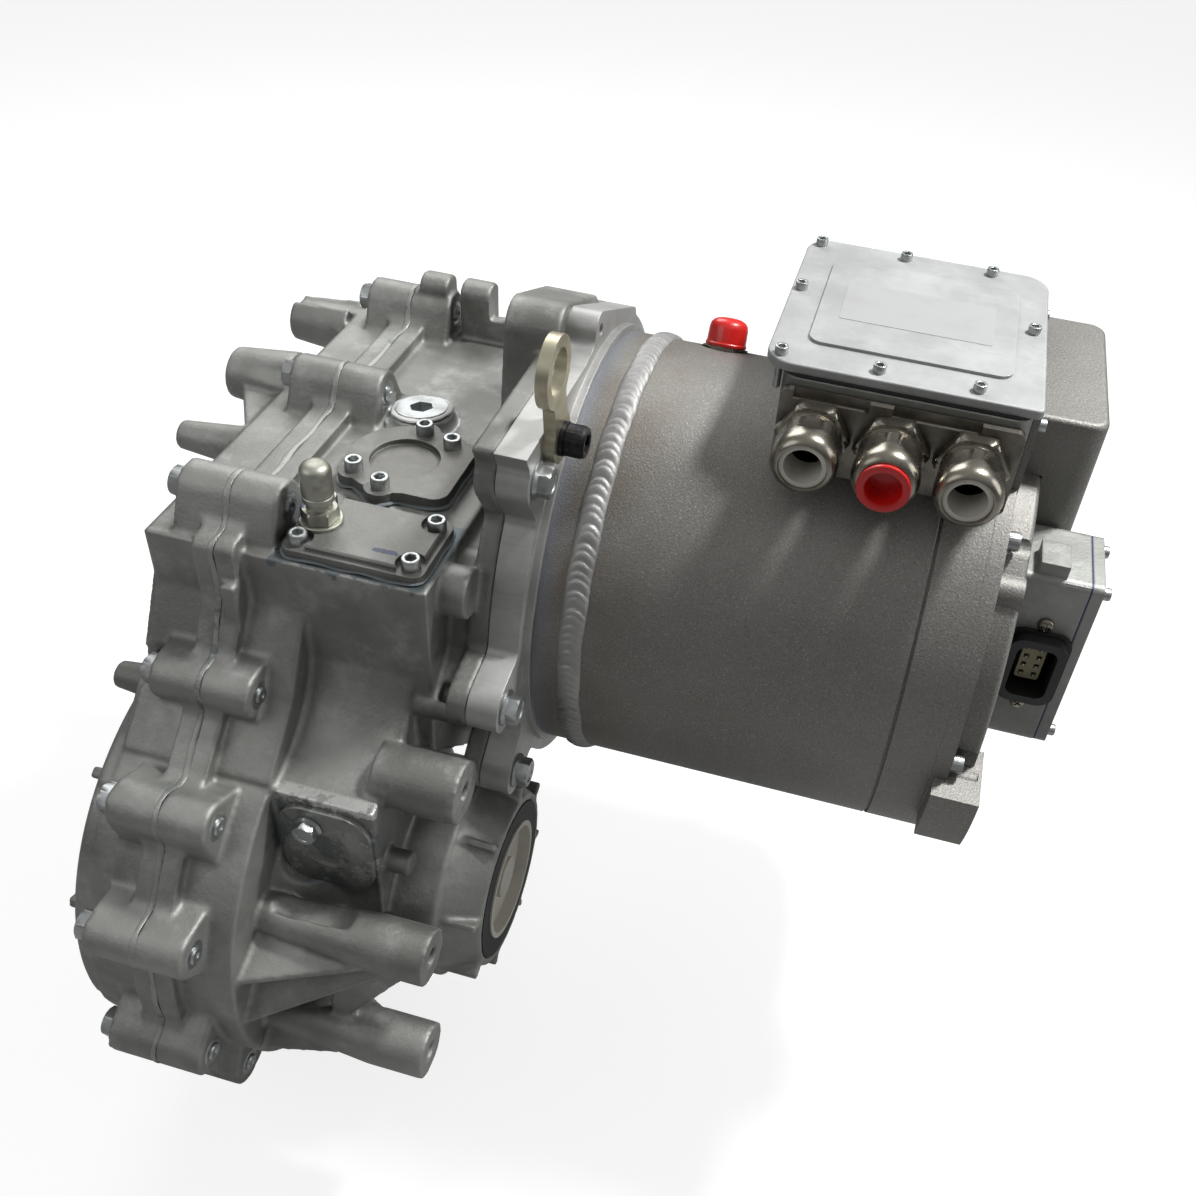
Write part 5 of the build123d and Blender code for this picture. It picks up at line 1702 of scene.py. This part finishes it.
@dataclass
class PlugSealant:
    """The ring of sealant pressed out round the filler plug."""

    r: float = 15.2
    tube: float = 1.5
    below: float = 3.4
    tilt_x: float = -6.0
    tilt_y: float = -4.0
    count: int = 96
    sides: int = 10
    waves: tuple[Wave, ...] = ((0.22, 3.0, 0.5), (0.18, 7.0, 0.0), (0.12, 13.0, 2.0))

    def build(self, ctx: Context) -> None:
        """Bend an uneven ring round the plug's collar.

        Args:
            ctx: what every sub-assembly works with.
        """
        rings = []
        for index in range(self.count):
            angle = math.tau * index / self.count
            uneven = wavy(angle, *self.waves)
            tube = self.tube * (1.0 + 0.6 * uneven)
            ring = []
            for k in range(self.sides):
                a = math.tau * k / self.sides
                out = self.r + 0.5 * uneven + tube * 1.4 * math.cos(a)
                z = tube * 0.7 * math.sin(a)
                ring.append((out * math.cos(angle) * MM, out * math.sin(angle) * MM, z * MM))
            rings.append(ring)
        mesh = through("filler_sealant", rings, True)
        plug = max(solids_of(ctx.nodes["oil_plugs"]), key=lambda span: span.high.z)
        middle = plug.middle
        lift = Matrix.Translation((middle.x * MM, middle.y * MM, (plug.high.z - self.below) * MM))
        tilt = Matrix.Rotation(math.radians(self.tilt_x), 4, "X")
        tilt = tilt @ Matrix.Rotation(math.radians(self.tilt_y), 4, "Y")
        obj = joined("filler_sealant", [(mesh, lift @ tilt)])
        ctx.settle(obj, HOUSING, "seal_rubber", finish="silver_sealant")


@dataclass
class BlankLabel:
    """A plain sticker without print on the lid's raised field."""

    x: tuple[float, float] = (115.0, 191.0)
    y: tuple[float, float] = (6.0, 48.0)
    corner: float = 1.5
    thickness: float = 0.2
    steps: int = 6

    def outline(self) -> list[tuple[float, float]]:
        """The sticker's rounded outline as X and Y."""
        near_x, far_x = self.x[0] + self.corner, self.x[1] - self.corner
        near_y, far_y = self.y[0] + self.corner, self.y[1] - self.corner
        centres = ((far_x, far_y), (near_x, far_y), (near_x, near_y), (far_x, near_y))
        points = []
        for quarter, (x, y) in enumerate(centres):
            for step in range(self.steps + 1):
                a = math.radians(90 * quarter + 90 / self.steps * step)
                points.append((x + self.corner * math.cos(a), y + self.corner * math.sin(a)))
        return points

    def build(self, ctx: Context) -> None:
        """Cut the sticker out and lay it on the lid.

        Args:
            ctx: what every sub-assembly works with.
        """
        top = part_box("terminal_box_lid")[1].z / MM
        rings = [
            [(x * MM, y * MM, z * MM) for x, y in self.outline()]
            for z in (top, top + self.thickness)
        ]
        obj = piece("blank_label", through("blank_label", rings))
        ctx.settle(obj, HOUSING, "white_plastic", finish="white_panel")


# Studio


@dataclass(frozen=True)
class Lamp:
    """A soft disk lamp that looks at a point."""

    name: str
    place: Point
    aim: Point
    size: float
    watts: float

    def build(self) -> None:
        """Add the lamp to the scene."""
        data = bpy.data.lights.new(self.name, "AREA")
        data.shape = "DISK"
        data.size = self.size
        data.energy = self.watts
        obj = bpy.data.objects.new(self.name, data)
        look = (Vector(self.aim) - Vector(self.place)).to_track_quat("-Z", "Y")
        obj.matrix_world = Matrix.Translation(self.place) @ look.to_matrix().to_4x4()
        bpy.context.scene.collection.objects.link(obj)


@dataclass
class Studio:
    """Floor, backdrop colour, lamps and the camera at the photograph's point of view."""

    eye: Point = (0.1457286, -0.5546630, 0.4412940)
    right: Point = (0.96470495, 0.25291966, 0.07332122)
    down: Point = (0.21908615, -0.61638937, -0.75635006)
    ahead: Point = (-0.14610138, 0.74571831, -0.65004507)
    focal_pixels: float = 1222.0
    frame_pixels: float = 1196.0
    centre: tuple[float, float] = (653.0, 603.1)
    sensor_mm: float = 36.0
    clip_start: float = 0.01
    sky_low: float = 0.05
    sky_rise: float = 0.26
    sky_mirrored: float = 0.5
    sky_seen: float = 0.93
    floor_z: float = -0.2975
    floor_half: float = 40.0
    floor_tone: Colour = (0.30, 0.30, 0.30)
    floor_glow: Colour = (0.80, 0.80, 0.80)
    floor_mirrored: float = 0.15
    lamps: tuple[Lamp, ...] = (
        Lamp("key", (0.62, 0.36, 1.20), (0.05, -0.02, 0.0), 0.2, 23.0),
        Lamp("window", (-0.62, 1.0, 0.95), (-0.05, 0.0, 0.0), 0.9, 9.0),
        Lamp("side", (1.3, 0.1, 0.45), (0.1, 0.0, 0.0), 0.9, 4.5),
        Lamp("fill", (-0.9, -0.8, 0.8), (0.0, 0.0, 0.0), 1.0, 3.0),
    )

    def camera(self) -> None:
        """Place the camera."""
        data = bpy.data.cameras.new("camera")
        data.sensor_width = self.sensor_mm
        data.lens = self.sensor_mm * self.focal_pixels / self.frame_pixels
        data.shift_x = -(self.centre[0] - self.frame_pixels / 2) / self.frame_pixels
        data.shift_y = (self.centre[1] - self.frame_pixels / 2) / self.frame_pixels
        data.clip_start = self.clip_start
        obj = bpy.data.objects.new("camera", data)
        turn = Matrix((self.right, [-v for v in self.down], [-v for v in self.ahead]))
        obj.matrix_world = Matrix.Translation(self.eye) @ turn.transposed().to_4x4()
        bpy.context.scene.collection.objects.link(obj)
        bpy.context.scene.camera = obj

    def sky(self) -> None:
        """A soft world, brighter overhead and in reflections, that the camera sees as white."""
        world = bpy.data.worlds.new("studio_sky")
        bpy.context.scene.world = world
        g = Graph("studio_sky", world)
        height = g.axis_of(g.node("ShaderNodeTexCoord", out="Generated"), "Z")
        soft = self.sky_low + height.step(-0.1, 1.0) * self.sky_rise
        seen = g.ray("Camera").most(g.ray("Transmission"))
        level = (soft * (1.0 + g.ray("Glossy") * self.sky_mirrored)).most(seen * self.sky_seen)
        white = {"Color": (1.0, 1.0, 1.0), "Strength": level}
        g.node("ShaderNodeOutputWorld", None, {0: g.node("ShaderNodeBackground", None, white)})

    def floor(self) -> None:
        """A floor that the camera sees as pale, with the unit's shadow on it."""
        bm = bmesh.new()
        bmesh.ops.create_grid(bm, x_segments=1, y_segments=1, size=self.floor_half)
        mesh = mesh_of(bm, "floor")
        mesh.transform(Matrix.Translation((0.0, 0.0, self.floor_z)))
        g = Graph("pale_floor")
        seen = g.ray("Camera").most(g.ray("Glossy") * self.floor_mirrored)
        glow = g.blend(seen, (0.0, 0.0, 0.0), self.floor_glow)
        material = g.finish(
            Base_Color=self.floor_tone, Roughness=0.9, Emission_Color=glow, Emission_Strength=1.0
        )
        obj = piece("floor", mesh)
        obj.data.materials.append(material)

    def build(self) -> None:
        """Set up the studio."""
        bpy.context.scene.view_settings.view_transform = "Standard"
        self.camera()
        self.sky()
        self.floor()
        for lamp in self.lamps:
            lamp.build()


def assemblies() -> list[Assembly]:
    """The sub-assemblies of the unit, in the order in which they are built."""
    right, left, front, up = Direction.RIGHT, Direction.LEFT, Direction.FRONT, Direction.UP
    bolt, screw, zinc = Head.HEXAGON, Head.SOCKET, "zinc_steel"
    return [
        SoftCasting("gear_housing_motor_side"),
        SoftCasting("gear_housing_far_side"),
        Seam("gear_housing_far_side", -0.1482),
        Seam("round_cover", 0.0662, up, "grey_sealant", 0.0012, 0.8, 1.4, 0.0025),
        Seam("square_cover", 0.0640, up, "grey_sealant", 0.0008, 0.8, 1.6, 0.0025),
        WeldBead(),
        Fasteners("front_flange_bolts", 10.0, bolt, zinc, {0: right}),
        Fasteners("housing_bolts", 10.0, bolt, zinc, {0: left}, seed=20),
        Fasteners("retainer_bolt", 8.0, bolt, zinc, {1: front}),
        Fasteners("cover_screws_m6", 6.0, screw, zinc, {0: right, 2: up}, seed=40),
        Fasteners("cover_screws_m4", 4.0, screw, zinc, {0: right, 2: up}, seed=60),
        Fasteners("lifting_eye_screw", 10.0, screw, "black_steel", {0: right}),
        PanScrews(),
        Glands(),
        GlandPlug(),
        Breather(),
        NozzleCaps(),
        BossEnds(),
        PlugSealant(),
        BlankLabel(),
    ]


def main() -> None:
    """Build the looks of the unit in order."""
    logging.basicConfig(level=logging.INFO, format="%(name)s: %(message)s")
    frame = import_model()
    finishes = Finishes().build()
    ctx = Context(frame["nodes"], finishes, Scatter())
    slots = {entry["node"]: entry["material_slot"] for entry in frame["record"]["subparts"]}
    for node, obj in frame["nodes"].items():
        finishes.dress(obj, OWN_FINISH.get(node, slots[node]))
    for assembly in assemblies():
        assembly.build(ctx)
    Studio().build()


if __name__ == "__main__":
    main()
